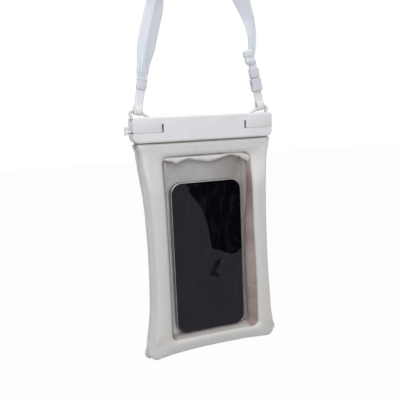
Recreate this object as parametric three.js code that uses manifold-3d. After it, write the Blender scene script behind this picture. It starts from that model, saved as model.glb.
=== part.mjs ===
// Waterproof phone pouch: an air-cushion frame around a clear pocket, closed by a clamp with two
// latches, hung from a neck strap and holding a phone.
// Millimetres. X runs along the clamp to the viewer's right, Y to the back and Z up. The origin is
// where the top of the strap's loop bears on what holds it up.
import * as THREE from 'three';
import { LoftGeometry } from 'three/addons/geometries/LoftGeometry.js';
import { mergeVertices } from 'three/addons/utils/BufferGeometryUtils.js';
import Module from 'manifold-3d';

const wasm = await Module();
wasm.setup();

// Fits between neighbouring pieces
const CLEARANCE = 0.3;
const CONTACT = 0.1;
const REACH = 1; // how far a cutting solid runs past the face that it opens

// Height of the whole: from the top of the strap's loop to the top of the clamp
const LOOP_DROP = 140;

// Clamp
const CLAMP_WIDTH = 138;
const CLAMP_HEIGHT = 23;
const CLAMP_DEPTH = 18;
const CLAMP_TOP_CORNER = 2;
const CLAMP_LOWER_CORNER = 5.5;
const CLAMP_EDGE = 1.6;
const SEAL_WIDTH = 120;
const SEAL_HEIGHT = 5;
const SEAL_THICKNESS = 1.2;
const SEAL_DROP = 14; // clamp top to the middle of the seal

// Latches, hinged on upright pins at the rear corners of the clamp
const LATCH_REACH = { left: 26, right: 27.5 }; // front panel, from the clamp's end
const LATCH_TOP = 1.7; // below the clamp's top
const LATCH_HEIGHT = 12.2;
const LATCH_THICKNESS = 3;
const LATCH_WALL = 2;
const LATCH_CORNER = 1.2;
const PIVOT_OUTSET = 1.5; // pin axis beyond the clamp's end
const PIVOT_SETBACK = 5; // pin axis behind the clamp's middle plane
const KNUCKLE_RADIUS = 3.2;
const KNUCKLE_HEIGHT = 3.3;
const KNUCKLE_DROP = 11.85; // clamp top to the middle of the knuckle
const LUG_HEIGHT = 2;
const PIN_RADIUS = 1;
const FINGER_SLOT_WIDTH = 2;
const FINGER_SLOT_HEIGHT = 7.4;
const FINGER_SLOT_DEPTH = 5.4;

// Lanyard eyelets
const EYELET_BAND = 2;
const EYELET_DEPTH = 8;
const EYELET_MIDDLE = 1; // behind the clamp's middle plane
const EYELET_RISE = 6.2; // apex of the band's middle above the clamp
const EYELET_SPAN = 15.6; // between the middles of its feet
const EYELET_INSET = 1.9; // outer foot's middle, in from the clamp's end
const EYELET_FOOT_DEPTH = 2.8;
const EYELET_FOOT_LENGTH = 3;

// Air-cushion frame and the window that it surrounds
const FRAME_SHIFT = 1.5; // the frame hangs a little to the right of the clamp's middle
const WINDOW_WIDTH = 88.6;
const WINDOW_TOP = 36.4; // below the clamp's top
const WINDOW_HEIGHT = 174;
const WINDOW_TOP_CORNER = 7;
const WINDOW_LOWER_CORNER = 5;
const TUBE_WIDTH = 14.7; // at the waist
const TUBE_DEPTH = 25; // front to back, along the sides
const TUBE_ROUNDING = 0.45; // 1 is an ellipse, less is fuller at the corners
const TOP_TUBE_DEPTH = 14; // where the frame flattens towards the clamp
const BOTTOM_TUBE_HEIGHT = 12.8;
const BOTTOM_TUBE_SAG = 2.6; // the lower corners hang below the middle
const SHOULDER_FLARE = 8;
const HIP_FLARE = 7.4;
const WAIST_DROP = 115; // below the clamp's top
const SHOULDER_CORNER = 4;
const SWELL_START = 7; // below the frame's top, where the sides start to deepen
const SWELL_LENGTH = 42;
const HIP_CORNER = 10;
const SEAM_WIDTH = 1;
const SEAM_EAR = { shoulder: 5, hip: 3 }; // extra seam at the four corners
const MOUTH_WIDTH = 84; // slot through the top tube, where the phone goes in
const MOUTH_GAP = 2.8;

// Pocket films
const FILM = 0.5;
const POCKET_TOP = 39.4; // where the films come together above the phone, below the clamp's top
const MOUTH_DROP = 4; // upper edge of the films inside the clamp

// Phone
const PHONE_WIDTH = 71.5;
const PHONE_HEIGHT = 146.7;
const PHONE_DEPTH = 7.6;
const PHONE_CORNER = 10.5;
const PHONE_EDGE = 0.8;
const GLASS = 0.7;
const GLASS_INSET = 0.7;
const PHONE_REST = 2.05; // phone's lower edge above the window's lower edge
const BUTTON_DEPTH = 2.4;
const BUTTON_LENGTH = 1.3;
const BUTTON_PROUD = 0.4;
const BUTTON_TRAVEL = 0.4;
const BUTTON_FIT = 0.2;
const BUTTONS = {
  phone_action_button: { side: -1, height: 45, size: 5 },
  phone_volume_up_button: { side: -1, height: 31, size: 10 },
  phone_volume_down_button: { side: -1, height: 16, size: 10 },
  phone_side_button: { side: 1, height: 24, size: 17 },
};
const PORT_WIDTH = 9;
const PORT_HEIGHT = 3;
const PORT_DEPTH = 6;
const CAMERA_PLATE = 29;
const CAMERA_PLATE_CORNER = 7;
const CAMERA_PLATE_THICKNESS = 1;
const CAMERA_PLATE_INSET = 4;
const LENS_RADIUS = 5.6;
const LENS_RISE = 0.6;
const LENS_SPREAD = 6.4;

// Strap pieces on each side, built along their own line, which leans in by STRAP_LEAN
const STRAP_LEAN = { left: Math.atan(0.21), right: Math.atan(0.17) };
const STRAP_INSET = 6.8; // foot of a tail, in from the clamp's end
const WEBBING_WIDTH = 7;
const WEBBING = 1.2;
const TAIL_BOTTOM = 1.2; // above the clamp
const TAIL_LENGTH = { left: 27, right: 23 };
const TAIL_THROAT = 13; // where its two layers meet, above its lower edge
const SLEEVE_WALL = 0.9;
const JOINER_LENGTH = 10.5;
const TUCK = 3.6; // how far webbing runs into a fitting
const SOCKET_LENGTH = 12.5;
const SOCKET_WIDTH = 10;
const SOCKET_DEPTH = 6;
const SOCKET_WALL = 1;
const PLUG_BODY = 9.5;
const PLUG_ARM = 1.7;
const PLUG_ARM_LENGTH = 6.4;
const PLUG_DEPTH = 5;
const SLIDER_LENGTH = 15;
const SLIDER_WIDTH = 11.2;
const SLIDER_DEPTH = 5.6;
const SLIDER_GAP = 2.6; // between the plug and the slider
const SLIDER_OFFSET = 1.3; // the slider's middle, in from the strap's line
const RIBBON_WIDTH = 17;
const RIBBON = 1.6;
const RIBBON_ROOT = 6.4; // gathered width inside a fitting
const RIBBON_PROFILE = [[-1, -0.5], [-0.94, -1], [0.94, -1], [1, -0.5], [1, 0.5], [0.94, 1], [-0.94, 1], [-1, 0.5]];

const HALF_CLAMP = CLAMP_WIDTH / 2;
const CLAMP_FRONT = -CLAMP_DEPTH / 2;
const CLAMP_BACK = CLAMP_DEPTH / 2;
const FILM_REST = CLEARANCE / 2;
const JAW_FACE = FILM_REST + FILM + CLEARANCE;
const WINDOW_BOTTOM = WINDOW_TOP + WINDOW_HEIGHT;
const FRAME_TOP = CLAMP_HEIGHT + CLEARANCE;
const FRAME_BOTTOM = WINDOW_BOTTOM + BOTTOM_TUBE_HEIGHT;
const PHONE_MIDDLE = WINDOW_BOTTOM - PHONE_REST - PHONE_HEIGHT / 2;

function material(color, roughness, metalness = 0, opacity = 1) {
  return new THREE.MeshStandardMaterial({ color, roughness, metalness, opacity, transparent: opacity < 1 });
}

function mesh(name, geometry, look) {
  const piece = new THREE.Mesh(geometry, look);
  piece.name = name;
  return piece;
}

// Booleans
function toSolid(geometry) {
  const bare = new THREE.BufferGeometry().copy(geometry);
  bare.deleteAttribute('normal');
  bare.deleteAttribute('uv');
  const merged = mergeVertices(bare, 1e-4);
  const vertProperties = new Float32Array(merged.attributes.position.array);
  const triVerts = new Uint32Array(merged.index.array);
  return new wasm.Manifold(new wasm.Mesh({ numProp: 3, vertProperties, triVerts }));
}

function toGeometry(solid) {
  const { vertProperties, triVerts } = solid.getMesh();
  const geometry = new THREE.BufferGeometry();
  geometry.setAttribute('position', new THREE.BufferAttribute(vertProperties, 3));
  geometry.setIndex(new THREE.BufferAttribute(triVerts, 1));
  geometry.computeVertexNormals();
  return geometry;
}

function join(...pieces) {
  return toGeometry(pieces.map(toSolid).reduce((sum, piece) => sum.add(piece)));
}

function cut(piece, ...tools) {
  return toGeometry(tools.map(toSolid).reduce((rest, tool) => rest.subtract(tool), toSolid(piece)));
}

function overlapOf(piece, tool) {
  return toGeometry(toSolid(piece).intersect(toSolid(tool)));
}

function mirrored(geometry) {
  const copy = new THREE.BufferGeometry().copy(geometry).scale(-1, 1, 1);
  const index = copy.index.array;
  for (let i = 0; i < index.length; i += 3) [index[i], index[i + 1]] = [index[i + 1], index[i]];
  copy.computeVertexNormals();
  return copy;
}

// Basic forms
function box(x, y, z) {
  return new THREE.BoxGeometry(x[1] - x[0], y[1] - y[0], z[1] - z[0]).translate(
    (x[0] + x[1]) / 2,
    (y[0] + y[1]) / 2,
    (z[0] + z[1]) / 2,
  );
}

function roundedShape(left, right, bottom, top, lowerCorner, upperCorner = lowerCorner) {
  const shape = new THREE.Shape();
  shape.moveTo(left + lowerCorner, bottom);
  shape.lineTo(right - lowerCorner, bottom);
  shape.absarc(right - lowerCorner, bottom + lowerCorner, lowerCorner, -Math.PI / 2, 0);
  shape.absarc(right - upperCorner, top - upperCorner, upperCorner, 0, Math.PI / 2);
  shape.absarc(left + upperCorner, top - upperCorner, upperCorner, Math.PI / 2, Math.PI);
  shape.absarc(left + lowerCorner, bottom + lowerCorner, lowerCorner, Math.PI, 1.5 * Math.PI);
  return shape;
}

// A shape drawn on the front (XZ), run from one depth to another, with rounded end edges
function slab(shape, front, back, edge = 0, curveSegments = 4) {
  const geometry = new THREE.ExtrudeGeometry(shape, {
    depth: back - front - 2 * edge,
    bevelEnabled: edge > 0,
    bevelThickness: edge,
    bevelSize: edge,
    bevelOffset: -edge,
    bevelSegments: 2,
    curveSegments,
  });
  return geometry.rotateX(Math.PI / 2).translate(0, back - edge, 0);
}

// An upright round pin, or the tool for its bore
function upright(radius, x, y, bottom, top) {
  const geometry = new THREE.CylinderGeometry(radius, radius, top - bottom, 16);
  return geometry.rotateX(Math.PI / 2).translate(x, y, (bottom + top) / 2);
}

const { lerp } = THREE.MathUtils;

function smooth(from, to, value) {
  return THREE.MathUtils.smoothstep(value, from, to);
}

// Clamp
const latchSpan = [-LATCH_TOP - LATCH_HEIGHT, -LATCH_TOP];
const knuckleSpan = [-KNUCKLE_DROP - KNUCKLE_HEIGHT / 2, -KNUCKLE_DROP + KNUCKLE_HEIGHT / 2];
const lugGap = [knuckleSpan[0] - CLEARANCE, knuckleSpan[1] + CLEARANCE];
const lugSpan = [lugGap[0] - LUG_HEIGHT, lugGap[1] + LUG_HEIGHT];
const pivotX = HALF_CLAMP + PIVOT_OUTSET;
const wallInside = HALF_CLAMP - LATCH_WALL;
const wallBack = PIVOT_SETBACK - KNUCKLE_RADIUS - 1.5 * CLEARANCE;
const eyeletOuter = HALF_CLAMP - EYELET_INSET;
const eyeletInner = eyeletOuter - EYELET_SPAN;
const eyeletFootBack = EYELET_MIDDLE + EYELET_DEPTH / 2;

function clampBlock() {
  const outline = roundedShape(
    -HALF_CLAMP,
    HALF_CLAMP,
    -CLAMP_HEIGHT,
    0,
    CLAMP_LOWER_CORNER,
    CLAMP_TOP_CORNER,
  );
  return slab(outline, CLAMP_FRONT, CLAMP_BACK, CLAMP_EDGE);
}

function onBothSides(maker) {
  return [maker('right'), mirrored(join(maker('left')))];
}

function latchRecess(side) {
  const inner = HALF_CLAMP - LATCH_REACH[side];
  const z = [latchSpan[0] - CLEARANCE, latchSpan[1] + CLEARANCE];
  const front = CLAMP_FRONT - REACH;
  const panel = box(
    [inner - CLEARANCE, HALF_CLAMP + REACH],
    [front, CLAMP_FRONT + LATCH_THICKNESS + CLEARANCE],
    z,
  );
  const wall = box([wallInside - CLEARANCE, HALF_CLAMP + REACH], [front, wallBack + CLEARANCE], z);
  const slot = box(
    [inner - CLEARANCE - FINGER_SLOT_WIDTH, inner],
    [front, CLAMP_FRONT + FINGER_SLOT_DEPTH],
    [z[0], z[0] + FINGER_SLOT_HEIGHT],
  );
  return join(panel, wall, slot);
}

function knuckleRecess() {
  const neck = box(
    [wallInside - CLEARANCE, pivotX + REACH],
    [wallBack - REACH, PIVOT_SETBACK],
    lugGap,
  );
  return join(neck, upright(KNUCKLE_RADIUS + CLEARANCE, pivotX, PIVOT_SETBACK, ...lugGap));
}

function eyeletFeet(fit) {
  const y = [eyeletFootBack - EYELET_FOOT_DEPTH - fit, eyeletFootBack + fit];
  const z = [-EYELET_FOOT_LENGTH - fit, 2 * fit + CLEARANCE];
  const half = EYELET_BAND / 2 + fit;
  return [eyeletOuter, eyeletInner].map((x) => box([x - half, x + half], y, z));
}

function frontJaw() {
  const half = box(
    [-HALF_CLAMP - REACH, HALF_CLAMP + REACH],
    [CLAMP_FRONT - REACH, -JAW_FACE],
    [-CLAMP_HEIGHT - REACH, REACH],
  );
  const sealGroove = box(
    [-SEAL_WIDTH / 2 - CLEARANCE, SEAL_WIDTH / 2 + CLEARANCE],
    [-JAW_FACE - SEAL_THICKNESS - CLEARANCE, 0],
    [-SEAL_DROP - SEAL_HEIGHT / 2 - CLEARANCE, -SEAL_DROP + SEAL_HEIGHT / 2 + CLEARANCE],
  );
  return cut(overlapOf(clampBlock(), half), sealGroove, ...onBothSides(latchRecess));
}

function rearJaw() {
  const half = box(
    [-HALF_CLAMP - REACH, HALF_CLAMP + REACH],
    [JAW_FACE, CLAMP_BACK + REACH],
    [-CLAMP_HEIGHT - REACH, REACH],
  );
  const bored = (side) => {
    const tools = [latchRecess(side), ...eyeletFeet(CLEARANCE)];
    return join(...tools);
  };
  const lug = () => {
    const y = [PIVOT_SETBACK - KNUCKLE_RADIUS, PIVOT_SETBACK + KNUCKLE_RADIUS];
    const web = box([wallInside - KNUCKLE_RADIUS, pivotX], y, lugSpan);
    const eye = join(web, upright(KNUCKLE_RADIUS, pivotX, PIVOT_SETBACK, ...lugSpan));
    const boreSpan = [lugSpan[0] - REACH, lugSpan[1] + REACH];
    const bore = upright(PIN_RADIUS + CLEARANCE, pivotX, PIVOT_SETBACK, ...boreSpan);
    return cut(eye, knuckleRecess(), bore);
  };
  const block = cut(overlapOf(clampBlock(), half), ...onBothSides(bored), ...onBothSides(knuckleRecess));
  return join(block, ...onBothSides(lug));
}

function seal() {
  return box(
    [-SEAL_WIDTH / 2, SEAL_WIDTH / 2],
    [-JAW_FACE - SEAL_THICKNESS, -JAW_FACE],
    [-SEAL_DROP - SEAL_HEIGHT / 2, -SEAL_DROP + SEAL_HEIGHT / 2],
  );
}

function latch(side) {
  const inner = HALF_CLAMP - LATCH_REACH[side];
  const panel = slab(
    roundedShape(inner, HALF_CLAMP, ...latchSpan, LATCH_CORNER),
    CLAMP_FRONT,
    CLAMP_FRONT + LATCH_THICKNESS,
    CLEARANCE,
    2,
  );
  const wallFront = CLAMP_FRONT + LATCH_THICKNESS / 2;
  const wall = box([wallInside, HALF_CLAMP], [wallFront, wallBack], [
    latchSpan[0] + LATCH_CORNER,
    latchSpan[1] - LATCH_CORNER,
  ]);
  const neck = box([wallInside, pivotX], [wallBack - LATCH_WALL, PIVOT_SETBACK], knuckleSpan);
  const knuckle = upright(KNUCKLE_RADIUS, pivotX, PIVOT_SETBACK, ...knuckleSpan);
  const boreSpan = [knuckleSpan[0] - REACH, knuckleSpan[1] + REACH];
  const bore = upright(PIN_RADIUS + CLEARANCE, pivotX, PIVOT_SETBACK, ...boreSpan);
  return cut(join(panel, wall, neck, knuckle), bore);
}

// One eyelet: an arched band over two feet that sit in the rear jaw
function eyelet() {
  const foot = CLEARANCE + EYELET_BAND / 4;
  const line = new THREE.CatmullRomCurve3([
    new THREE.Vector3(eyeletOuter, 0, foot),
    new THREE.Vector3(eyeletOuter + 0.7 * EYELET_BAND, 0, 0.5 * EYELET_RISE),
    new THREE.Vector3(eyeletOuter - 0.2 * EYELET_BAND, 0, EYELET_RISE),
    new THREE.Vector3(eyeletOuter - 0.35 * EYELET_SPAN, 0, 0.86 * EYELET_RISE),
    new THREE.Vector3(eyeletInner, 0, foot),
  ]);
  const y = [eyeletFootBack - EYELET_DEPTH, eyeletFootBack];
  const steps = 14;
  const sections = [];
  for (let i = 0; i <= steps; i++) {
    const at = line.getPointAt(i / steps);
    const along = line.getTangentAt(i / steps);
    const side = new THREE.Vector3(-along.z, 0, along.x).multiplyScalar(EYELET_BAND / 2);
    sections.push([
      new THREE.Vector3(at.x + side.x, y[0], at.z + side.z),
      new THREE.Vector3(at.x - side.x, y[0], at.z - side.z),
      new THREE.Vector3(at.x - side.x, y[1], at.z - side.z),
      new THREE.Vector3(at.x + side.x, y[1], at.z + side.z),
    ]);
  }
  const arch = new LoftGeometry(sections, { capStart: true, capEnd: true });
  const above = box([0, CLAMP_WIDTH], [y[0] - REACH, y[1] + REACH], [CLEARANCE, 2 * EYELET_RISE]);
  return join(overlapOf(arch, above), ...eyeletFeet(0));
}

// Air-cushion frame
const halfWindow = WINDOW_WIDTH / 2;

function frameHalfWidth(depth) {
  const waist = halfWindow + TUBE_WIDTH;
  if (depth < WAIST_DROP) {
    return waist + SHOULDER_FLARE * ((WAIST_DROP - depth) / (WAIST_DROP - FRAME_TOP)) ** 3;
  }
  return waist + HIP_FLARE * ((depth - WAIST_DROP) / (FRAME_BOTTOM - WAIST_DROP)) ** 2.5;
}

// Matching points of the window's edge and the frame's outer edge, down the right half
function rightHalfStations() {
  const stations = [];
  const add = (inner, outer, ear) => stations.push({ inner, outer, ear });
  const shoulder = frameHalfWidth(FRAME_TOP);
  const hip = frameHalfWidth(FRAME_BOTTOM);
  const TOP_STEPS = 4;
  const CORNER_STEPS = 4;
  const SIDE_STEPS = 12;
  for (let i = 0; i < TOP_STEPS; i++) {
    const t = i / TOP_STEPS;
    add(
      [t * (halfWindow - WINDOW_TOP_CORNER), -WINDOW_TOP],
      [t * (shoulder - SHOULDER_CORNER), -FRAME_TOP],
      0,
    );
  }
  for (let i = 0; i < CORNER_STEPS; i++) {
    const angle = ((i / CORNER_STEPS) * Math.PI) / 2;
    const turn = [Math.sin(angle), Math.cos(angle) - 1];
    const along = (corner, x, z) => [x - corner + corner * turn[0], z + corner * turn[1]];
    add(
      along(WINDOW_TOP_CORNER, halfWindow, -WINDOW_TOP),
      along(SHOULDER_CORNER, shoulder, -FRAME_TOP),
      Math.sin(angle) ** 2,
    );
  }
  for (let i = 0; i <= SIDE_STEPS; i++) {
    const t = i / SIDE_STEPS;
    const window = lerp(WINDOW_TOP + WINDOW_TOP_CORNER, WINDOW_BOTTOM - WINDOW_LOWER_CORNER, t);
    const frame = lerp(FRAME_TOP + SHOULDER_CORNER, FRAME_BOTTOM - HIP_CORNER, t);
    add([halfWindow, -window], [frameHalfWidth(frame), -frame], Math.abs(2 * t - 1) ** 6);
  }
  for (let i = 1; i <= CORNER_STEPS; i++) {
    const angle = ((i / CORNER_STEPS) * Math.PI) / 2;
    const turn = [Math.cos(angle) - 1, 1 - Math.sin(angle)];
    const along = (corner, x, z) => [x + corner * turn[0], z + corner * turn[1]];
    add(
      along(WINDOW_LOWER_CORNER, halfWindow, -WINDOW_BOTTOM),
      along(HIP_CORNER, hip, -FRAME_BOTTOM - BOTTOM_TUBE_SAG),
      Math.cos(angle) ** 2,
    );
  }
  for (let i = 1; i <= TOP_STEPS; i++) {
    const t = 1 - i / TOP_STEPS;
    add(
      [t * (halfWindow - WINDOW_LOWER_CORNER), -WINDOW_BOTTOM],
      [t * (hip - HIP_CORNER), -FRAME_BOTTOM - BOTTOM_TUBE_SAG * t * t],
      0,
    );
  }
  return stations;
}

// The tube is a rounded box in section, with a flat welded seam behind its outer wall
function tubeSection({ inner, outer, ear }) {
  const middle = -(inner[1] + outer[1]) / 2;
  const swellFrom = FRAME_TOP + SWELL_START;
  const fullness = smooth(swellFrom, swellFrom + SWELL_LENGTH, middle);
  const half = lerp(TOP_TUBE_DEPTH, TUBE_DEPTH, fullness) / 2;
  const across = new THREE.Vector2(outer[0] - inner[0], outer[1] - inner[1]);
  const width = across.length();
  across.normalize();
  const at = (u, v) => new THREE.Vector3(inner[0] + across.x * u, v, inner[1] + across.y * u);
  const wall = (angle) => {
    const squared = (value) => Math.sign(value) * Math.abs(value) ** TUBE_ROUNDING;
    return at((width / 2) * (1 - squared(Math.cos(angle))), -half * squared(Math.sin(angle)));
  };
  const points = [];
  const STEPS = 14;
  for (let i = 0; i <= STEPS / 2; i++) points.push(wall((2 * Math.PI * i) / STEPS));
  const seam = SEAM_WIDTH + ear * (middle < WAIST_DROP ? SEAM_EAR.shoulder : SEAM_EAR.hip);
  const seamStart = Math.PI * 1.1;
  const seamEnd = Math.PI * 1.16;
  const root = [wall(seamStart), wall(seamEnd)];
  const tip = width + (middle < WINDOW_TOP ? 0 : seam);
  points.push(root[0], at(tip, 0.75 * root[0].y + 0.25 * root[1].y));
  points.push(at(tip, 0.25 * root[0].y + 0.75 * root[1].y), root[1]);
  for (let i = STEPS / 2 + 2; i < STEPS; i++) points.push(wall((2 * Math.PI * i) / STEPS));
  return points.reverse();
}

function airCushionFrame() {
  const right = rightHalfStations();
  const flip = ({ inner, outer, ear }) => ({ inner: [-inner[0], inner[1]], outer: [-outer[0], outer[1]], ear });
  const left = right.slice(1, -1).reverse().map(flip);
  const sections = [...right, ...left].map(tubeSection);
  sections.push(sections[0]);
  const ring = new LoftGeometry(sections);
  const mouth = box(
    [-MOUTH_WIDTH / 2, MOUTH_WIDTH / 2],
    [-MOUTH_GAP / 2, MOUTH_GAP / 2],
    [-WINDOW_TOP - WINDOW_TOP_CORNER, -FRAME_TOP + REACH],
  );
  return cut(ring, mouth);
}

// A sheet between two grids of points, closed around its rim
function closedSheet(front, back) {
  const rows = front.length;
  const columns = front[0].length;
  const points = [...front.flat(), ...back.flat()];
  const at = (layer, i, j) => (layer * rows + i) * columns + j;
  const index = [];
  const quad = (a, b, c, d) => index.push(a, b, c, a, c, d);
  for (let i = 0; i + 1 < rows; i++) {
    for (let j = 0; j + 1 < columns; j++) {
      quad(at(0, i, j), at(0, i, j + 1), at(0, i + 1, j + 1), at(0, i + 1, j));
      quad(at(1, i, j), at(1, i + 1, j), at(1, i + 1, j + 1), at(1, i, j + 1));
    }
    const last = columns - 1;
    quad(at(0, i, 0), at(0, i + 1, 0), at(1, i + 1, 0), at(1, i, 0));
    quad(at(0, i, last), at(1, i, last), at(1, i + 1, last), at(0, i + 1, last));
  }
  for (let j = 0; j + 1 < columns; j++) {
    const last = rows - 1;
    quad(at(0, 0, j), at(1, 0, j), at(1, 0, j + 1), at(0, 0, j + 1));
    quad(at(0, last, j), at(0, last, j + 1), at(1, last, j + 1), at(1, last, j));
  }
  const geometry = new THREE.BufferGeometry().setFromPoints(points);
  geometry.setIndex(index);
  geometry.computeVertexNormals();
  return geometry;
}

// Pocket films: each is a thin dished sheet, flat over the phone and drawn in at its edges
const phoneHalf = [PHONE_WIDTH / 2, PHONE_HEIGHT / 2];

function filmHalfWidth(depth) {
  const full = halfWindow - CLEARANCE;
  const neck = MOUTH_WIDTH / 2 - CLEARANCE;
  if (depth <= POCKET_TOP) return neck;
  const lower = WINDOW_LOWER_CORNER - CLEARANCE;
  const upper = WINDOW_TOP_CORNER + CLEARANCE;
  const above = depth - POCKET_TOP;
  const below = WINDOW_BOTTOM - CLEARANCE - depth;
  if (below < lower) return full - lower + Math.sqrt(lower ** 2 - (lower - below) ** 2);
  return lerp(neck, full, smooth(0, upper, above));
}

function film(side, lift) {
  const bottom = WINDOW_BOTTOM - CLEARANCE;
  const phoneTop = PHONE_MIDDLE - phoneHalf[1] - CLEARANCE;
  const phoneBottom = PHONE_MIDDLE + phoneHalf[1] + CLEARANCE;
  const flat = phoneHalf[0] + CLEARANCE;
  const depths = [];
  const between = (from, to, count) => {
    for (let i = 0; i < count; i++) depths.push(lerp(from, to, i / count));
  };
  between(MOUTH_DROP, POCKET_TOP, 3);
  between(POCKET_TOP, phoneTop, 6);
  between(phoneTop, phoneBottom, 4);
  between(phoneBottom, bottom, 3);
  depths.push(bottom);
  const COLUMNS = 4;
  const row = (depth, offset) => {
    const edge = filmHalfWidth(depth);
    const half = [];
    for (let i = 0; i <= COLUMNS; i++) half.push({ edge: 1 - i / COLUMNS, x: flat });
    half.push({ edge: 0, x: flat / 2 });
    const across = (side) => ({ edge: share, x }) => ({
      x: lerp(side * x - FRAME_SHIFT, side * edge, share),
      in: 1 - share,
    });
    const middle = { x: -FRAME_SHIFT, in: 1 };
    const points = [...half.map(across(1)), middle, ...half.map(across(-1)).reverse()];
    const over = Math.min(1, Math.max(0, (depth - POCKET_TOP) / (phoneTop - POCKET_TOP)));
    const under = Math.min(1, (bottom - depth) / (bottom - phoneBottom));
    return points.map((p) => {
      const rise = Math.sin((Math.min(p.in, over, under) * Math.PI) / 2);
      const y = lerp(FILM_REST, lift, rise) + offset;
      return new THREE.Vector3(p.x, side * y, -depth);
    });
  };
  const outer = depths.map((depth) => row(depth, FILM));
  const inner = depths.map((depth) => row(depth, 0));
  return side < 0 ? closedSheet(outer, inner) : closedSheet(inner, outer);
}

// Phone, drawn about its own middle
function phoneButton({ side, height, size }) {
  const outside = phoneHalf[0] + BUTTON_PROUD;
  const x = [side * (outside - BUTTON_LENGTH), side * outside].sort((a, b) => a - b);
  return box(x, [-BUTTON_DEPTH / 2, BUTTON_DEPTH / 2], [height - size / 2, height + size / 2]);
}

function buttonPocket({ side, height, size }) {
  const inside = phoneHalf[0] + BUTTON_PROUD - BUTTON_LENGTH - BUTTON_TRAVEL - BUTTON_FIT;
  const x = [side * inside, side * (phoneHalf[0] + REACH)].sort((a, b) => a - b);
  const half = BUTTON_DEPTH / 2 + BUTTON_FIT;
  const reach = size / 2 + BUTTON_FIT;
  return box(x, [-half, half], [height - reach, height + reach]);
}

function phoneFrame() {
  const outline = roundedShape(-phoneHalf[0], phoneHalf[0], -phoneHalf[1], phoneHalf[1], PHONE_CORNER);
  const half = PHONE_DEPTH / 2 - GLASS - CONTACT;
  const port = box(
    [-PORT_WIDTH / 2, PORT_WIDTH / 2],
    [-PORT_HEIGHT / 2, PORT_HEIGHT / 2],
    [-phoneHalf[1] - REACH, -phoneHalf[1] + PORT_DEPTH],
  );
  return cut(slab(outline, -half, half, PHONE_EDGE), port, ...Object.values(BUTTONS).map(buttonPocket));
}

function phoneGlass(side) {
  const x = phoneHalf[0] - GLASS_INSET;
  const z = phoneHalf[1] - GLASS_INSET;
  const outline = roundedShape(-x, x, -z, z, PHONE_CORNER - GLASS_INSET);
  const y = [side * (PHONE_DEPTH / 2 - GLASS), (side * PHONE_DEPTH) / 2].sort((a, b) => a - b);
  return slab(outline, ...y, GLASS / 3);
}

const cameraBack = PHONE_DEPTH / 2 + CONTACT;
const cameraMiddle = [
  phoneHalf[0] - CAMERA_PLATE_INSET - CAMERA_PLATE / 2,
  phoneHalf[1] - CAMERA_PLATE_INSET - CAMERA_PLATE / 2,
];
const lensFront = cameraBack + CAMERA_PLATE_THICKNESS + CONTACT;

function cameraPlate() {
  const half = CAMERA_PLATE / 2;
  const outline = roundedShape(-half, half, -half, half, CAMERA_PLATE_CORNER);
  return slab(outline, cameraBack, cameraBack + CAMERA_PLATE_THICKNESS, CLEARANCE, 3)
    .translate(cameraMiddle[0], 0, cameraMiddle[1]);
}

function cameraLens(step) {
  return new THREE.CylinderGeometry(LENS_RADIUS, LENS_RADIUS, LENS_RISE, 24).translate(
    cameraMiddle[0] - step * LENS_SPREAD,
    lensFront + LENS_RISE / 2,
    cameraMiddle[1] + step * LENS_SPREAD,
  );
}

// Strap fittings, drawn along +Z from the foot of a tail
function sidewaysPrism(shape, width) {
  const geometry = new THREE.ExtrudeGeometry(shape, { depth: width, bevelEnabled: false, curveSegments: 4 });
  const axes = new THREE.Matrix4().makeBasis(
    new THREE.Vector3(0, 1, 0),
    new THREE.Vector3(0, 0, 1),
    new THREE.Vector3(1, 0, 0),
  );
  return geometry.applyMatrix4(axes).translate(-width / 2, 0, 0);
}

// Webbing that wraps the eyelet's band and closes into two layers above it
function strapTail(length) {
  const inside = EYELET_DEPTH / 2 + 1.5 * CLEARANCE;
  const outside = inside + WEBBING;
  const turn = 2 * WEBBING;
  const upper = EYELET_RISE + EYELET_BAND;
  const outline = new THREE.Shape([
    new THREE.Vector2(-outside + turn, 0),
    new THREE.Vector2(outside - turn, 0),
    new THREE.Vector2(outside, turn),
    new THREE.Vector2(outside, upper),
    new THREE.Vector2(WEBBING, TAIL_THROAT + WEBBING),
    new THREE.Vector2(WEBBING, length),
    new THREE.Vector2(-WEBBING, length),
    new THREE.Vector2(-WEBBING, TAIL_THROAT + WEBBING),
    new THREE.Vector2(-outside, upper),
    new THREE.Vector2(-outside, turn),
  ]);
  const eye = new THREE.Path([
    new THREE.Vector2(-inside + WEBBING, WEBBING),
    new THREE.Vector2(-inside, 2 * WEBBING),
    new THREE.Vector2(-inside, upper),
    new THREE.Vector2(0, TAIL_THROAT),
    new THREE.Vector2(inside, upper),
    new THREE.Vector2(inside, 2 * WEBBING),
    new THREE.Vector2(inside - WEBBING, WEBBING),
  ]);
  outline.holes.push(eye);
  return sidewaysPrism(outline, WEBBING_WIDTH);
}

// A block with rounded front corners, from one height on the strap's line to another
function fittingBlock(width, depth, bottom, top, edge = 0.8) {
  const outline = roundedShape(-width / 2, width / 2, bottom, top, 2 * edge);
  return slab(outline, -depth / 2, depth / 2, edge, 2);
}

function webbingBore(bottom, top) {
  const x = WEBBING_WIDTH / 2 + CLEARANCE;
  const y = WEBBING + CLEARANCE;
  return box([-x, x], [-y, y], [bottom, top]);
}

const joinerBottom = TAIL_LENGTH.left - TUCK;
const joinerTop = joinerBottom + JOINER_LENGTH;
const socketBottom = TAIL_LENGTH.right - TUCK;
const socketTop = socketBottom + SOCKET_LENGTH;
const plugBottom = socketTop + CLEARANCE;
const plugTop = plugBottom + PLUG_BODY;
const sliderBottom = plugTop + SLIDER_GAP;
const sliderTop = sliderBottom + SLIDER_LENGTH;
const socketFloor = TAIL_LENGTH.right + CLEARANCE + SOCKET_WALL;

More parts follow.
